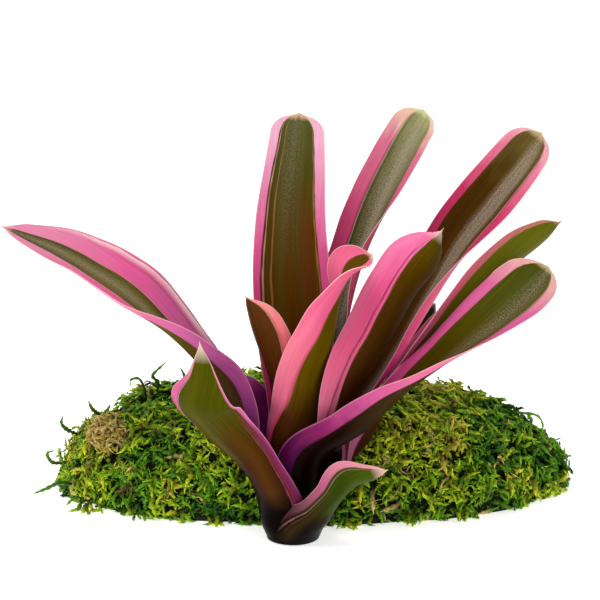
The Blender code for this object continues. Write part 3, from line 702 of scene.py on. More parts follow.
grow_leaf(
    "back_centre",
    stations=(
        (-2, 6.4, 14, 17, 145, 287), (-2.9, 9.5, 30, 22.5, 130, 287),
        (-3.6, 11.8, 42, 24.7, 115, 287), (2.6, 12.7, 70.2, 34, 80, 268),
        (1.6, 15.6, 101.3, 40, 51, 267), (-0.5, 20, 131.7, 40, 34, 267), (-1, 26, 161, 36, 29, 266),
        (1.1, 34, 187.8, 31, 29, 267), (3.1, 42, 212, 26, 29, 269),
    ),
    tip=(0.045, 0.5),
    end=(3.0, 1.4, 0.0),
    upper=dict(
        bands=(0.135, 0.145, 0.86, 0.875),
        centre=(
            (0, "#2a0810"), (0.3, "#4a2004"), (0.5, "#563202"), (0.7, "#4c3202"), (0.86, "#44400e"),
            (0.97, "#4c4c1e"),
        ),
        margin=(
            (0, "#3a0a28"), (0.3, "#b43060"), (0.5, "#cc3c78"), (0.66, "#d05488"), (0.8, "#d4789c"),
            (0.95, "#e0a4bc"),
        ),
        tip=("#d4b08c", 0.985),
        stripes=(
            (0.145, 0.014, "#4c1430", 0.8, 0.2, 0.95), (0.17, 0.012, "#d8a08c", 0.7, 0.2, 0.97),
            (0.27, 0.014, "#9c7a4c", 0.55, 0.25, 0.97), (0.845, 0.013, "#b07c4c", 0.6, 0.3, 0.95),
            (0.72, 0.1, "#5c2c10", 0.75, 0.25, 0.72), (0.38, 0.1, "#4a4214", 0.6, 0.3, 0.85),
            (0.22, 0.05, "#423006", 0.7, 0.3, 0.9), (0.6, 0.1, "#4c3a14", 0.4, 0.5, 0.9),
        ),
        flare=((0, 0.44), (0.35, 0.445), (0.6, 0.47), (0.85, 0.52), (1, 0.6)),
        silver=(0.22, 0.45, 0.3, 0.75),
    ),
    under=dict(
        bands=(0.1, 0.14, 0.84, 0.88),
        centre=((0, "#1c0808"), (0.4, "#33200a"), (0.9, "#403c10")),
        margin=((0, "#440a2c"), (0.5, "#b84468"), (0.9, "#d88090")),
    ),
)


# Inner leaf before the centre, young and thin. Its olive back shows with a broad pink band on
# its left, and its hooded tip bends over to the right.

grow_leaf(
    "inner_front",
    stations=(
        (-1.8, -5.2, 15, 15.8, 165, 71), (-3.5, -10, 30, 23, 155, 71),
        (-4.9, -14.4, 44, 28.6, 145, 71), (5.6, -12.7, 70.8, 36, 131, 121),
        (9.1, -16, 91.2, 37, 115, 130), (16.5, -17, 111.1, 37, 112, 142),
        (22.8, -15, 129.5, 34, 112, 165), (29.7, -13, 145.8, 31, 114, 204),
        (38.6, -10, 151.7, 19, 95, 222),
    ),
    tip=(0.07, 0.6),
    end=(0.0, 0.6, 0.7),
    upper=dict(
        bands=(0.3, 0.34, 0.66, 0.7),
        centre=((0, "#30080c"), (0.5, "#5a3404"), (0.9, "#5c4008")),
        margin=((0, "#5a1030"), (0.5, "#dc4c74"), (0.9, "#ec6c90")),
        tip=("#ecb8a8", 0.985),
    ),
    under=dict(
        bands=(0.03, 0.04, 0.63, 0.65),
        centre=(
            (0, "#140204"), (0.24, "#2c0c06"), (0.36, "#4a2406"), (0.5, "#5c4400"),
            (0.65, "#5c4a00"), (0.8, "#5a4800"), (0.95, "#64500a"),
        ),
        margin=(
            (0, "#4a0c30"), (0.26, "#a83c6c"), (0.4, "#d46484"), (0.6, "#e06c84"),
            (0.75, "#e8608c"), (0.95, "#ea688c"),
        ),
        stripes=(
            (0.65, 0.014, "#c8344c", 0.6, 0.25, 0.8), (0.4, 0.12, "#6c5a02", 0.6, 0.4, 0.8),
            (0.8, 0.1, "#ec8494", 0.5, 0.45, 0.7),
        ),
        flare=((0, 0.17), (0.3, 0.18), (0.5, 0.24), (0.7, 0.38), (1, 0.5)),
        roughness=0.4,
    ),
)


# Inner leaf right of the centre, long and pointed, its brown back edged with a broad pink band.
# It wraps the heart of the rosette and is torn at the tip.

grow_leaf(
    "inner_right",
    stations=(
        (4.3, 0.4, 16, 12, 160, 186), (7.1, 0.7, 30, 18.6, 150, 186),
        (13.1, 1.4, 42, 23.2, 140, 186), (24.2, -8.8, 65.9, 33, 125, 157),
        (31.6, -10, 88.3, 36, 112, 136), (43.6, -5, 111.3, 37, 107, 127),
        (54.6, 1, 132.5, 36, 102, 123), (65.9, 3, 148.9, 31, 90, 120), (73.9, 5, 159.7, 8, 69, 127),
    ),
    tip=(0.05, 0.75),
    end=(0.0, 1.2, 1.6),
    upper=dict(
        bands=(0.3, 0.34, 0.66, 0.7),
        centre=((0, "#30080c"), (0.5, "#4a280a"), (0.9, "#5c4009")),
        margin=((0, "#5a1030"), (0.5, "#dc4c80"), (0.9, "#ec8098")),
        tip=("#ecb0a8", 0.985),
    ),
    under=dict(
        bands=(0.02, 0.03, 0.63, 0.65),
        centre=(
            (0, "#180404"), (0.24, "#381008"), (0.4, "#4a200a"), (0.55, "#50300c"),
            (0.7, "#503206"), (0.85, "#583e00"), (0.96, "#5c4c04"),
        ),
        margin=(
            (0, "#4a0c30"), (0.24, "#b04070"), (0.4, "#cc6880"), (0.55, "#dc5880"),
            (0.75, "#e8588c"), (0.92, "#ec70a0"),
        ),
        tip=("#ecc4b4", 0.965),
        stripes=(
            (0.685, 0.014, "#8c1c50", 0.85, 0.2, 0.9), (0.65, 0.012, "#e08c8c", 0.6, 0.2, 0.95),
            (0.9, 0.1, "#f088ac", 0.45, 0.5, 0.95), (0.3, 0.14, "#62420c", 0.5, 0.5, 0.9),
        ),
        flare=((0, 0.18), (0.3, 0.2), (0.5, 0.33), (0.75, 0.44), (1, 0.5)),
        roughness=0.55,
    ),
)


# Smallest inner leaf, left of the centre: a young brown blade with a salmon margin, pointed,
# rolled at its base round the heart of the rosette.

grow_leaf(
    "inner_left",
    stations=(
        (-2.8, -1.3, 17, 8.7, 160, 25), (-5.2, -2.4, 30, 15.9, 160, 25),
        (-8.6, -4, 44, 22.3, 150, 25), (-7.5, -6, 78.2, 24, 130, 40),
        (-10.9, -8, 94.5, 28, 120, 45), (-14.8, -9, 110.4, 28, 110, 50),
        (-19.2, -10, 123.5, 17, 100, 50), (-23.1, -11, 130.5, 4, 60, 40),
    ),
    tip=(0.06, 0.6),
    end=(0.0, 0.8, 0.2),
    upper=dict(
        bands=(0.24, 0.3, 0.8, 0.86),
        centre=((0, "#30080c"), (0.5, "#5a300a"), (0.9, "#6d4c0d")),
        margin=((0, "#5a1030"), (0.5, "#e06c78"), (0.9, "#f0a0a0")),
        tip=("#f0c8b8", 0.975),
    ),
    under=dict(
        bands=(0.2, 0.23, 0.96, 0.98),
        centre=(
            (0, "#280608"), (0.3, "#441c0c"), (0.5, "#50280c"), (0.7, "#552c0c"), (0.95, "#5c3414"),
        ),
        margin=(
            (0, "#5a1030"), (0.3, "#c04c64"), (0.5, "#e46070"), (0.8, "#f0767c"), (0.95, "#f0908c"),
        ),
        tip=("#ecccb8", 0.985),
        stripes=((0.23, 0.014, "#e8a490", 0.6, 0.3, 0.95), (0.19, 0.014, "#a83448", 0.6, 0.3, 0.9)),
        roughness=0.3,
    ),
)


# Moss mound. Living carpet moss lies as a mat: brown felted old growth underneath, and over it
# thousands of ropy green shoots a millimetre or two thick that arch over each other.
# This is the felted core: it fills the mound, showing only between the shoots as their painted
# shade.

MOUND_CENTRE = (6.0, 80.0)
MOUND_LEFT = 132.0
MOUND_RIGHT = 138.0
MOUND_FRONT = 63.0
MOUND_BACK = 67.0
MOUND_HEIGHT = 55.5
MOUND_LIP = 6.0
MOUND_RELIEF = 2.4
RIM_WAVES = ((0.016, 5, 0.6), (0.012, 9, 2.1), (0.008, 17, 0.0))
BAY_RADIUS = 18.2
BAY_SLOPE = 0.85
CORE_SINK = 2.0
CORE_RELIEF = 1.3
CORE_RINGS = 60
CORE_SEGMENTS = 260
CORE_RIM_CROWDING = 1.6
CORE_RIM_SHARE = 0.985
FELT_FIBRE = 2.5


def random_waves(seed, count, shortest, longest):
    """Plain waves with random lengths between two in mm, directions and shifts."""
    rng = random.Random(seed)
    waves = []
    for _ in range(count):
        length = rng.uniform(shortest, longest)
        turn = rng.uniform(0, 2 * math.pi)
        shift = rng.uniform(0, 2 * math.pi)
        waves.append((math.cos(turn) / length, math.sin(turn) / length, shift))
    return waves


def wave_sum(waves, x, y):
    total = sum(np.sin(2 * math.pi * (x * a + y * b) + shift) for a, b, shift in waves)
    return total / math.sqrt(len(waves))


mound_waves = random_waves(11, 9, 32.0, 70.0)


def mound_point(share, bearing):
    """Top of the mound at a share of the way from its centre to its rim, as x, y and z.

    A bay is cut out of it round the foot of the plant.
    """
    reach_x = np.where(np.cos(bearing) > 0, MOUND_RIGHT, MOUND_LEFT)
    reach_y = np.where(np.sin(bearing) > 0, MOUND_BACK, MOUND_FRONT)
    wobble = sum(high * np.sin(turns * bearing + lag) for high, turns, lag in RIM_WAVES)
    x = MOUND_CENTRE[0] + share * (1.0 + wobble) * reach_x * np.cos(bearing)
    y = MOUND_CENTRE[1] + share * (1.0 + wobble) * reach_y * np.sin(bearing)
    dome = np.maximum(1 - share**3.2, 0.0) ** 0.6
    relief = MOUND_RELIEF * wave_sum(mound_waves, x, y) * np.minimum(1.0, 3 * (1 - share))
    z = MOUND_LIP + (MOUND_HEIGHT - MOUND_LIP) * dome + relief
    bay = np.maximum((np.hypot(x, y) - BAY_RADIUS) / BAY_SLOPE, 0.2)
    return np.stack([x, y, np.minimum(z, bay)], -1)


def mound_normal(share, bearing):
    out = mound_point(np.minimum(share + 0.012, 0.999), bearing)
    back = mound_point(np.maximum(share - 0.012, 0.0), bearing)
    turned = mound_point(share, bearing + 0.02) - mound_point(share, bearing - 0.02)
    return unit(np.cross(out - back, turned))


def felt_and_gap_shade_material():
    """Felted old moss: matt, with a trace of green; its near-black brown is painted gap shade."""
    values = {"Roughness": 0.95, "Specular IOR Level": 0.2}
    material, tree, sockets = new_material("felted_moss_painted_gap_shade", values)
    place = add_node(tree, "ShaderNodeTexCoord", out="Object")
    fibre = {"Vector": place, "Scale": 1 / (FELT_FIBRE * MM), "Detail": 4.0}
    fibre = add_node(tree, NOISE, fibre)
    tone = add_node(
        tree, RAMP, {0: fibre}, stops=((0.3, "#060702"), (0.5, "#12160a"), (0.7, "#262c0c"))
    )
    tree.links.new(tone, sockets["Base Color"])
    bump = {"Strength": 0.8, "Distance": 1.0 * MM, "Height": fibre}
    tree.links.new(add_node(tree, BUMP, bump), sockets["Normal"])
    return material


core_share = 1 - (1 - np.arange(1, CORE_RINGS + 1) / CORE_RINGS) ** CORE_RIM_CROWDING
core_bearing = np.arange(CORE_SEGMENTS) / CORE_SEGMENTS * 2 * math.pi
core_share, core_bearing = np.meshgrid(core_share, core_bearing, indexing="ij")
core_points = mound_point(core_share * CORE_RIM_SHARE, core_bearing)
core_bumps = wave_sum(random_waves(4, 14, 5.0, 13.0), core_points[..., 0], core_points[..., 1])
core_points[..., 2] += CORE_RELIEF * core_bumps - CORE_SINK
core_points[..., 2] = np.maximum(core_points[..., 2], 0.4)
core_points[-1, :, 2] = 0.0
core_top = mound_point(np.zeros(1), np.zeros(1)) - np.array([0.0, 0.0, CORE_SINK])
core_all = np.concatenate([core_points.reshape(-1, 3), core_top])
core_order = np.arange(CORE_RINGS * CORE_SEGMENTS).reshape(CORE_RINGS, CORE_SEGMENTS)
core_next = np.roll(core_order, -1, axis=1)
core_sides = np.stack([core_order[:-1], core_order[1:], core_next[1:], core_next[:-1]], -1)
core_cap = np.stack([np.full(CORE_SEGMENTS, len(core_all) - 1), core_order[0], core_next[0]], -1)
core_faces = [core_sides.reshape(-1, 4), core_cap, core_order[-1:, ::-1]]
moss_core, _ = make_mesh("moss_core", core_all, core_faces, [felt_and_gap_shade_material()])
carry(moss_core, "moss_pad")


# Moss shoots. Each is a tapering rope of tiny overlapping leaves, knobbly along its length, rooted
# in the felt and arching over its neighbours, with short side shoots. Light green at the tips.

SHOOT_SEED = 21
SHOOT_COUNT = 5300
SHOOT_LENGTH = (7.5, 15.0)
SHOOT_GIRTH = (0.75, 1.4)
SHOOT_RINGS = 9
EDGE_SHOOT_COUNT = 1300
EDGE_HEIGHT = (1.5, 13.0)
SIDE_SHOOT_COUNT = 7000
SIDE_SHOOT_LENGTH = (3.0, 6.5)
SIDE_SHOOT_GIRTH = (0.45, 0.85)
ROOT_SINK = 2.5
CLUMP_HEIGHT = 3.0
CLUMP_LOWER = 0.6
LEAFLET = 0.8
MOSS_TONES = (
    (0.0, "#0c2404"), (0.2, "#2c6406"), (0.4, "#66a00c"), (0.6, "#a8c814"),
    (0.78, "#d8d828"), (0.88, "#d0c050"), (0.94, "#ccb470"), (1.0, "#6a4c26"),
)
# Painted shade: each shoot darkens towards its root deep in the mat and grows lighter at its tip.
MOSS_ROOT_SHADE = ((0.0, 0.1), (0.4, 0.5), (0.75, 1.0), (1.0, 1.4))


def moss_material(name, roughness, tones, root_shade, leaflets):
    """Moss shoots: matt, each with its own tone and painted shade darkening it towards its root.

    With leaflets it is living moss, flecked and bumpy with leaves too small to model; without
    them it is dried moss, plain and papery.
    """
    material, tree, sockets = new_material(name, {"Roughness": roughness})
    place = add_node(tree, "ShaderNodeUVMap", uv_map="shoot")
    own, climb = add_node(tree, "ShaderNodeSeparateXYZ", {0: place}).node.outputs[:2]
    tone = add_node(tree, RAMP, {0: own}, stops=tones)
    layers = [add_node(tree, RAMP, {0: climb}, stops=root_shade)]
    if leaflets:
        place = add_node(tree, "ShaderNodeTexCoord", out="Object")
        speck = {"Vector": place, "Scale": 1 / (LEAFLET * MM), "Detail": 2.0}
        speck = add_node(tree, NOISE, speck)
        layers.append(add_node(tree, RAMP, {0: speck}, stops=((0.3, 0.5), (0.6, 1.2))))
        bump = {"Strength": 0.6, "Distance": 0.4 * MM, "Height": speck}
        tree.links.new(add_node(tree, BUMP, bump), sockets["Normal"])
        sockets["Specular IOR Level"].default_value = 0.2
    for layer in layers:
        tone = {0: 1.0, 6: tone, 7: layer}
        tone = add_node(tree, MIX, tone, data_type="RGBA", blend_type="MULTIPLY")
    tree.links.new(tone, sockets["Base Color"])
    return material


def arching_spines(roots, start, lean, side, length, rings, rng):
    """Lines that leave the felt along start and bend over toward lean, swaying to the sides."""
    count = len(roots)
    steps = np.linspace(0, 1, rings)[None, :]
    first = rng.uniform(0.15, 0.9, (count, 1))
    last = rng.uniform(1.1, 2.1, (count, 1))
    angle = first + (last - first) * np.sin(steps * rng.uniform(1.2, 2.6, (count, 1)))
    sway = rng.uniform(0.2, 0.8, (count, 1)) * np.sin(
        steps * rng.uniform(3.0, 8.0, (count, 1)) + rng.uniform(0, 6.3, (count, 1))
    )
    way = unit(
        start[:, None] * np.cos(angle)[..., None]
        + lean[:, None] * np.sin(angle)[..., None]
        + side[:, None] * sway[..., None]
    )
    spine = np.cumsum(way * (length / (rings - 1))[:, None, None], axis=1)
    spine = roots[:, None] + spine - spine[:, :1]
    spine[..., 2] = np.maximum(spine[..., 2], 1.0)
    return spine


def rope_mesh(name, node, spine, girth, tint, sides, rng, material, knobs=0.3):
    """Tapering knobbly ropes along the spines, joined in one mesh with closed ends."""
    count, rings = spine.shape[:2]
    steps = np.linspace(0, 1, rings)
    way = unit(np.gradient(spine, axis=1) + 1e-6)
    reference = unit(np.cross(way, way[:, :1] + np.array([0.31, 0.52, 0.79])))
    other = np.cross(way, reference)
    taper = 0.55 + 0.45 * np.sin(np.minimum(steps * 1.6 + 0.15, 1.0) * math.pi / 2)
    taper = taper * (1 - steps**4) + 0.14
    knob = 1 + knobs * np.where(np.arange(rings) % 2 == 0, 1.0, -1.0)
    radius = girth[:, None] * taper * knob * rng.uniform(0.8, 1.2, (count, rings))
    turn = np.arange(sides) / sides * 2 * math.pi + rng.uniform(0, 6.3, (count, 1, 1))
    ring = (
        spine[:, :, None]
        + reference[:, :, None] * (np.cos(turn) * radius[..., None])[..., None]
        + other[:, :, None] * (np.sin(turn) * radius[..., None])[..., None]
    )
    ring[..., 2] = np.maximum(ring[..., 2], 0.25)
    foot = spine[:, 0] - way[:, 0] * 0.4
    tip = spine[:, -1] + way[:, -1] * radius[:, -1:] * 2
    tip[:, 2] = np.maximum(tip[:, 2], 0.3)
    points = np.concatenate([ring.reshape(count, -1, 3), foot[:, None], tip[:, None]], 1)
    cell = np.arange(rings * sides).reshape(rings, sides)
    after = np.roll(cell, -1, axis=1)
    quads = np.stack([cell[:-1], after[:-1], after[1:], cell[1:]], -1).reshape(-1, 4)
    low = np.stack([np.full(sides, rings * sides), after[0], cell[0]], -1)
    high = np.stack([np.full(sides, rings * sides + 1), cell[-1], after[-1]], -1)
    shift = (np.arange(count) * points.shape[1])[:, None, None]
    faces = [(quads + shift).reshape(-1, 4), (np.concatenate([low, high]) + shift).reshape(-1, 3)]
    obj, loops = make_mesh(name, points.reshape(-1, 3), faces, [material])
    climb = np.concatenate([np.repeat(steps, sides), [0.0, 1.0]])
    mark(obj, loops, "shoot", np.stack(np.broadcast_arrays(tint[:, None], climb), -1))
    carry(obj, node)


def tangents(normals, rng):
    """Random unit directions along the surface, leaning a little downhill, and their sides."""
    loose = rng.normal(size=normals.shape) + np.array([0.0, -0.15, -0.35])
    lean = unit(loose - (loose * normals).sum(1)[:, None] * normals)
    return lean, np.cross(normals, lean)


patch_waves = random_waves(8, 10, 22.0, 60.0)
fleck_waves = random_waves(9, 10, 7.0, 16.0)
clump_waves = random_waves(12, 14, 8.0, 19.0)
DRY_SHARE = 0.035
BROWN_SHARE = 0.02
ANYWHERE = (0.0, math.inf)
YELLOW_SPOTS = (
    (0.22, (-40, 14), ANYWHERE, (36, 9)),
    (0.20, (-114, 10), ANYWHERE, ANYWHERE),
    (0.30, (-66, 9), (20, 9), ANYWHERE),
)


def shoot_tint(roots, clump, rng):
    """Each shoot's place in the moss tones, with painted light and shade; a few are dried tan or
    brown.

    A yellow spot is how much it adds and its middle and reach in mm along x, y and z.
    """
    x, y, z = roots.T
    tint = 0.44 + 0.11 * wave_sum(patch_waves, x, y + z) + 0.06 * wave_sum(fleck_waves, x, y + z)
    # Painted light and shade: high clumps are lighter and hollows darker, and the right crown is
    # painted sunlit.
    tint += 0.13 * clump
    tint += 0.15 * np.exp(-(((x - 62) / 48) ** 2)) * np.clip(z / 40, 0, 1)
    for more, *spot in YELLOW_SPOTS:
        off = sum(((place - mid) / reach) ** 2 for place, (mid, reach) in zip(roots.T, spot))
        tint += more * np.exp(-off)
    # Deeper green to the left and high up at the far right; darker low down round the foot, painted
    # shade.
    tint -= 0.08 * np.clip((20 - x) / 40, 0, 1)
    tint -= 0.20 * np.clip((x - 88) / 14, 0, 1) * np.clip((z - 14) / 14, 0, 1)
    tint -= 0.20 * np.clip((16 - z) / 14, 0, 1)
    tint = np.clip(tint + rng.normal(0, 0.08, len(x)), 0.02, 0.86)
    dry = rng.uniform(size=len(x))
    tint = np.where(dry < DRY_SHARE, 0.90 + rng.uniform(-0.02, 0.05, len(x)), tint)
    return np.where(dry > 1 - BROWN_SHARE, 1.0, tint)


moss_rng = np.random.default_rng(SHOOT_SEED)
moss_green = moss_material("living_carpet_moss", 0.55, MOSS_TONES, MOSS_ROOT_SHADE, True)

# Places are tried all over the mound, kept more often where it is steep, and kept clear of the
# plant's bay and of the dried tuft.
tries = SHOOT_COUNT * 4
share = np.sqrt(moss_rng.uniform(0, 1, tries)) * 0.992
bearing = moss_rng.uniform(0, 2 * math.pi, tries)
roots = mound_point(share, bearing)
normals = mound_normal(share, bearing)
wanted = np.where(roots[:, 1] > 105, 0.65, 1.0) / (4.0 * np.clip(normals[:, 2], 0.12, 1))
clear = np.hypot(roots[:, 0], roots[:, 1]) > BAY_RADIUS + 2 + BAY_SLOPE * roots[:, 2] * 0.9
clear &= np.hypot((roots[:, 0] + 96) / 9, (roots[:, 2] - 38) / 7) > 1.0
clear &= (moss_rng.uniform(size=tries) < wanted) & (roots[:, 2] > 1.5)
picked = np.flatnonzero(clear)[:SHOOT_COUNT]

edge_bearing = moss_rng.uniform(0, 2 * math.pi, EDGE_SHOOT_COUNT)
edge_roots = mound_point(np.full(EDGE_SHOOT_COUNT, 0.993), edge_bearing)
edge_roots[:, 2] = moss_rng.uniform(*EDGE_HEIGHT, EDGE_SHOOT_COUNT)
edge_normals = mound_normal(np.full(EDGE_SHOOT_COUNT, 0.985), edge_bearing)
edge_normals[:, 2] *= 0.3
edge_clear = np.hypot(edge_roots[:, 0], edge_roots[:, 1]) > BAY_RADIUS + 3
roots = np.concatenate([roots[picked], edge_roots[edge_clear]])
normals = np.concatenate([normals[picked], unit(edge_normals[edge_clear])])

clumps = np.clip(wave_sum(clump_waves, roots[:, 0], roots[:, 1] + roots[:, 2]), -1.6, 1.3)
roots = roots + normals * (CLUMP_HEIGHT * clumps - CLUMP_LOWER)[:, None]
tints = shoot_tint(roots, clumps, moss_rng)
lean, side = tangents(normals, moss_rng)
lengths = moss_rng.uniform(*SHOOT_LENGTH, len(roots))
girths = moss_rng.uniform(*SHOOT_GIRTH, len(roots))
sunk = roots - normals * ROOT_SINK
spines = arching_spines(sunk, normals, lean, side, lengths, SHOOT_RINGS, moss_rng)

MOSS_STRIPS = (("far_left", -200, -62), ("left", -62, 6), ("right", 6, 74), ("far_right", 74, 200))
for strip, low, high in MOSS_STRIPS:
    here = np.flatnonzero((roots[:, 0] >= low) & (roots[:, 0] < high))
    kept = (spines[here], girths[here], tints[here])
    rope_mesh("moss_shoots_" + strip, "moss_pad", *kept, 4, moss_rng, moss_green)
    number = SIDE_SHOOT_COUNT * len(here) // len(roots)
    parent = here[moss_rng.integers(0, len(here), number)]
    step = moss_rng.integers(3, 8, number)
    fork = spines[parent, step]
    grow = unit(fork - spines[parent, step - 1] + 0.3 * normals[parent])
    away = unit(side[parent] * moss_rng.choice([-1.0, 1.0], number)[:, None] + 0.2 * grow)
    side_lengths = moss_rng.uniform(*SIDE_SHOOT_LENGTH, number)
    twigs = arching_spines(fork, grow, away, np.cross(grow, away), side_lengths, 5, moss_rng)
    kept = (twigs, moss_rng.uniform(*SIDE_SHOOT_GIRTH, number), tints[parent])
    rope_mesh("moss_side_shoots_" + strip, "moss_pad", *kept, 3, moss_rng, moss_green, 0.15)


# Stray strands. Long curling shoots that stand out of the mound at its outline, small bunches
# that creep out onto the floor in front, and dead straw lying over the moss.

STRAY_GIRTH = 0.85
STRAY_RINGS = 14
STRAYS = (
    ((-80, 84, 50), (-81, 82, 56), (-84, 80, 61), (-88, 79, 60), (-87, 78, 56)),
    ((-74, 84, 52), (-73, 82, 58), (-76, 80, 62), (-72, 79, 67), (-68, 78, 71)),
    ((-60, 86, 56), (-59, 84, 61), (-61, 83, 66)),
    ((-104, 74, 42), (-108, 72, 46), (-110, 71, 51)),
    ((-116, 66, 34), (-121, 64, 37), (-124, 63, 41), (-123, 63, 45)),
    ((-124, 58, 20), (-129, 55, 22), (-131, 54, 27), (-127, 53, 29)),
    ((-118, 48, 12), (-124, 44, 14), (-130, 41, 12), (-137, 38, 10)),
    ((92, 86, 46), (96, 84, 51), (101, 82, 53), (105, 81, 52)),
    ((104, 84, 44), (108, 82, 49), (112, 81, 46)),
    ((112, 80, 38), (119, 78, 42), (126, 77, 42), (132, 76, 41), (135, 76, 35), (133, 75, 28)),
    ((122, 76, 28), (129, 74, 31), (134, 73, 27), (140, 72, 28), (145, 72, 30)),
    ((128, 70, 18), (134, 68, 20), (139, 66, 17)),
    ((66, 88, 54), (68, 87, 59), (66, 86, 63)),
    ((-34, 88, 56), (-36, 87, 61), (-33, 86, 65)),
)
CREEPING_BUNCHES = ((-82, 26), (-41, 15), (30, 13), (62, 18), (88, 26), (-108, 36))
BUNCH_SHOOTS = 16
BUNCH_SPREAD = 3.0
STRAW_COUNT = 90
STRAW_FRONT = 90.0
STRAW_RISE = 3.0

stray_lines = []
for stray in STRAYS:
    stray = np.array(stray, float)
    places = path_places(stray)
    stray_lines.append(curve_through(places, stray, np.linspace(0, places[-1], STRAY_RINGS)))
stray_girths = moss_rng.uniform(0.8, 1.2, len(STRAYS)) * STRAY_GIRTH
kept = (np.array(stray_lines), stray_girths, moss_rng.uniform(0.2, 0.5, len(STRAYS)))
rope_mesh("moss_strays", "moss_pad", *kept, 6, moss_rng, moss_green, 0.2)


def strew(name, node, ways, ranges, rings, rng, material, knobs=0.3):
    """Arching ropes with random lengths, girths and tones, each drawn from its range."""
    length, girth, tone = ranges
    count = len(ways[0])
    spines = arching_spines(*ways, rng.uniform(*length, count), rings, rng)
    kept = (spines, rng.uniform(*girth, count), rng.uniform(*tone, count))
    rope_mesh(name, node, *kept, 4, rng, material, knobs)


bunches = np.repeat(np.array(CREEPING_BUNCHES, float), BUNCH_SHOOTS, axis=0)
bunches = np.column_stack([bunches, moss_rng.uniform(1.5, 7.0, len(bunches))])
bunches[:, :2] += moss_rng.normal(0, BUNCH_SPREAD, (len(bunches), 2)) + np.array([0.0, 4.0])
creep = unit(moss_rng.normal(0, 0.5, bunches.shape) + np.array([0.0, -1.0, 0.1]))
droop = unit(moss_rng.normal(0, 0.6, bunches.shape) + np.array([0.0, -0.4, -0.8]))
ways = (bunches, creep, droop, np.cross(creep, droop))
ranges = ((7.0, 13.0), (0.6, 1.1), (0.3, 0.75))
strew("creeping_moss", "moss_pad", ways, ranges, SHOOT_RINGS, moss_rng, moss_green)

pick = moss_rng.choice(np.flatnonzero(roots[:, 1] < STRAW_FRONT), STRAW_COUNT, replace=False)
along, out = lean[pick], normals[pick]
start, end = unit(along + 0.25 * out), unit(along - 0.5 * out)
ways = (roots[pick] + out * STRAW_RISE, start, end, side[pick])
ranges = ((9.0, 26.0), (0.22, 0.4), (0.9, 0.97))
strew("dead_straw", "moss_pad", ways, ranges, SHOOT_RINGS, moss_rng, moss_green, 0.1)


# Dried tuft. A cushion of the same moss that has dried to pale tan, papery curls at the upper left
# of the mound, with painted shade darkening the curls where they root.

TUFT_SEED = 3
TUFT_CENTRE = np.array([-96.5, 59.0, 36.0])
TUFT_RADII = np.array([11.5, 10.5, 9.0])
TUFT_CURLS = 700
TUFT_RINGS = 7
TUFT_CUT = 0.35
DRY_TONES = ((0.0, "#94782c"), (0.4, "#c0a448"), (0.8, "#e0c484"), (1.0, "#a0aa30"))
# Painted shade: the dried curls darken towards their roots inside the cushion.
DRY_ROOT_SHADE = ((0.0, 0.35), (0.6, 0.95), (1.0, 1.15))

tuft_rng = np.random.default_rng(TUFT_SEED)
ball = unit(tuft_rng.normal(size=(TUFT_CURLS, 3)))
ball[:, 2] = np.maximum(np.abs(ball[:, 2]) - TUFT_CUT, -TUFT_CUT)
ball = unit(ball)
tuft_roots = TUFT_CENTRE + ball * TUFT_RADII * tuft_rng.uniform(0.7, 1.0, (TUFT_CURLS, 1))
tuft_normals = unit(ball / TUFT_RADII)
ways = (tuft_roots, tuft_normals, *tangents(tuft_normals, tuft_rng))
ranges = ((3.5, 9.0), (0.45, 0.8), (0.0, 1.0))
dry_moss = moss_material("dried_tan_moss", 0.8, DRY_TONES, DRY_ROOT_SHADE, False)
strew("dry_moss_curls", "dry_moss_tuft", ways, ranges, TUFT_RINGS, tuft_rng, dry_moss)


# Stem. The short woody stem that carries the leaves is hidden by their sheaths, apart from the
# dark edge of its foot. Damp bark: near black brown, rough, with fine rings where leaves have
# come off. It is turned round its profile of radius and height.

STEM_PROFILE = (
    (11.0, 0.0), (12.6, 0.8), (14.2, 3.0), (15.0, 6.0), (13.0, 11.0), (9.0, 16.0), (4.0, 20.0),
)
STEM_SIDES = 64
BARK_RING = 3.016
BARK_GRAIN = 0.9
WAVE_BAND = 2 * math.pi / 20


def stem_bark():
    """Damp bark; WAVE_BAND is the length of one band of the wave texture at scale 1."""
    material, tree, sockets = new_material("damp_stem_bark", {"Roughness": 0.7})
    place = add_node(tree, "ShaderNodeTexCoord", out="Object")
    rings = {"Vector": place, "Scale": WAVE_BAND / (BARK_RING * MM)}
    rings |= {"Distortion": 3.0, "Detail": 2.0}
    rings = add_node(tree, "ShaderNodeTexWave", rings, out="Fac", bands_direction="Z")
    grain = {"Vector": place, "Scale": 1 / (BARK_GRAIN * MM), "Detail": 3.0}
    grain = add_node(tree, NOISE, grain)
    tone = add_node(tree, RAMP, {0: grain}, stops=((0.3, "#0a0403"), (0.7, "#241208")))
    tree.links.new(tone, sockets["Base Color"])
    bump = {"Strength": 0.5, "Distance": 0.4 * MM, "Height": rings}
    tree.links.new(add_node(tree, BUMP, bump), sockets["Normal"])
    return material


stem_turn = np.arange(STEM_SIDES) / STEM_SIDES * 2 * math.pi
stem_points = np.array(
    [(r * math.cos(t), r * math.sin(t), z) for r, z in STEM_PROFILE for t in stem_turn]
)
stem_order = np.arange(len(stem_points)).reshape(-1, STEM_SIDES)
stem_after = np.roll(stem_order, -1, axis=1)
stem_sides = np.stack([stem_order[:-1], stem_after[:-1], stem_after[1:], stem_order[1:]], -1)
stem_faces = [stem_sides.reshape(-1, 4), stem_order[:1, ::-1], stem_order[-1:]]
stem_foot, _ = make_mesh("stem_foot", stem_points, stem_faces, [stem_bark()])
carry(stem_foot, "stem")


# Studio. A pale floor of lit acrylic under wide soft lights: one large panel above and in front,
# a broad fill from each side, one panel behind, and an even bright surround.

FLOOR_HALF = 30000.0
FLOOR_GLOW = 0.62
FLOOR_GRAIN = 25.0
WHITE = (1.0, 1.0, 1.0, 1.0)
SURROUND_STRENGTH = 0.55


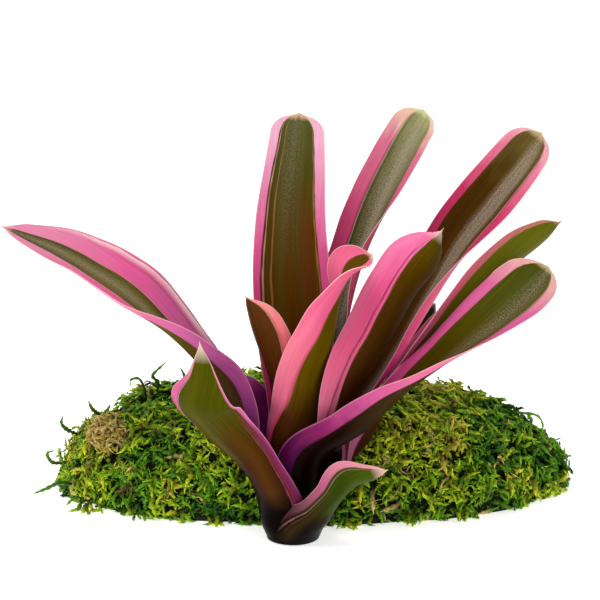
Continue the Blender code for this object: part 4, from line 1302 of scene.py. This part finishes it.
def pale_floor():
    """Moulded white acrylic, lit from inside: matt and evenly bright, so shadows stay faint."""
    values = {
        "Emission Color": WHITE,
        "Emission Strength": FLOOR_GLOW,
        "Roughness": 0.9,
        "Specular IOR Level": 0.1,
    }
    material, tree, sockets = new_material("lit_white_acrylic", values)
    place = add_node(tree, "ShaderNodeTexCoord", out="Object")
    grain = {"Vector": place, "Scale": 1 / (FLOOR_GRAIN * MM), "Detail": 2.0}
    grain = add_node(tree, NOISE, grain)
    tone = add_node(tree, RAMP, {0: grain}, stops=((0.3, "#f4f4f2"), (0.7, "#f8f8f6")))
    tree.links.new(tone, sockets["Base Color"])
    return material


floor_points = np.array([(-1, -1, 0), (1, -1, 0), (1, 1, 0), (-1, 1, 0)]) * FLOOR_HALF
floor, _ = make_mesh("floor", floor_points, [np.array([[0, 1, 2, 3]])], [pale_floor()])

LIGHT_AIM = (0.0, 0.03, 0.08)


def add_light(name, place, size, watts):
    """Square panel at a place in metres, turned to face the plant."""
    data = bpy.data.lights.new(name, "AREA")
    data.shape = "SQUARE"
    data.size = size
    data.energy = watts
    obj = bpy.data.objects.new(name, data)
    bpy.context.scene.collection.objects.link(obj)
    obj.location = place
    x, y, z = (aim - start for aim, start in zip(LIGHT_AIM, place))
    tilt = math.acos(-z / math.sqrt(x * x + y * y + z * z))
    obj.rotation_euler = (tilt, 0.0, math.atan2(y, x) - math.pi / 2)


add_light("panel_above", (-0.25, -0.5, 1.3), 0.6, 9.0)
add_light("fill_left", (-1.3, -0.7, 0.5), 0.9, 2.5)
add_light("fill_right", (1.3, -0.5, 0.6), 0.9, 2.5)
add_light("panel_behind", (0.2, 1.1, 0.9), 0.8, 3.0)

world = bpy.data.worlds.new("bright_surround")
bpy.context.scene.world = world
world.use_nodes = True
surround = next(node for node in world.node_tree.nodes if node.type == "BACKGROUND")
surround.inputs["Color"].default_value = WHITE
surround.inputs["Strength"].default_value = SURROUND_STRENGTH
bpy.context.scene.view_settings.view_transform = "Standard"


# Camera. It looks at the front of the plant from 15 degrees above the level, 1.2 metres away,
# through a long lens.

CAMERA_PLACE = (3.6, -1159.1, 436.6)
CAMERA_TILT = 15.0
camera_data = bpy.data.cameras.new("camera")
camera_data.lens = 144.0
camera_data.sensor_width = 36.0
camera = bpy.data.objects.new("camera", camera_data)
bpy.context.scene.collection.objects.link(camera)
camera.location = [value * MM for value in CAMERA_PLACE]
camera.rotation_euler = (math.radians(90.0 - CAMERA_TILT), 0.0, 0.0)
bpy.context.scene.camera = camera
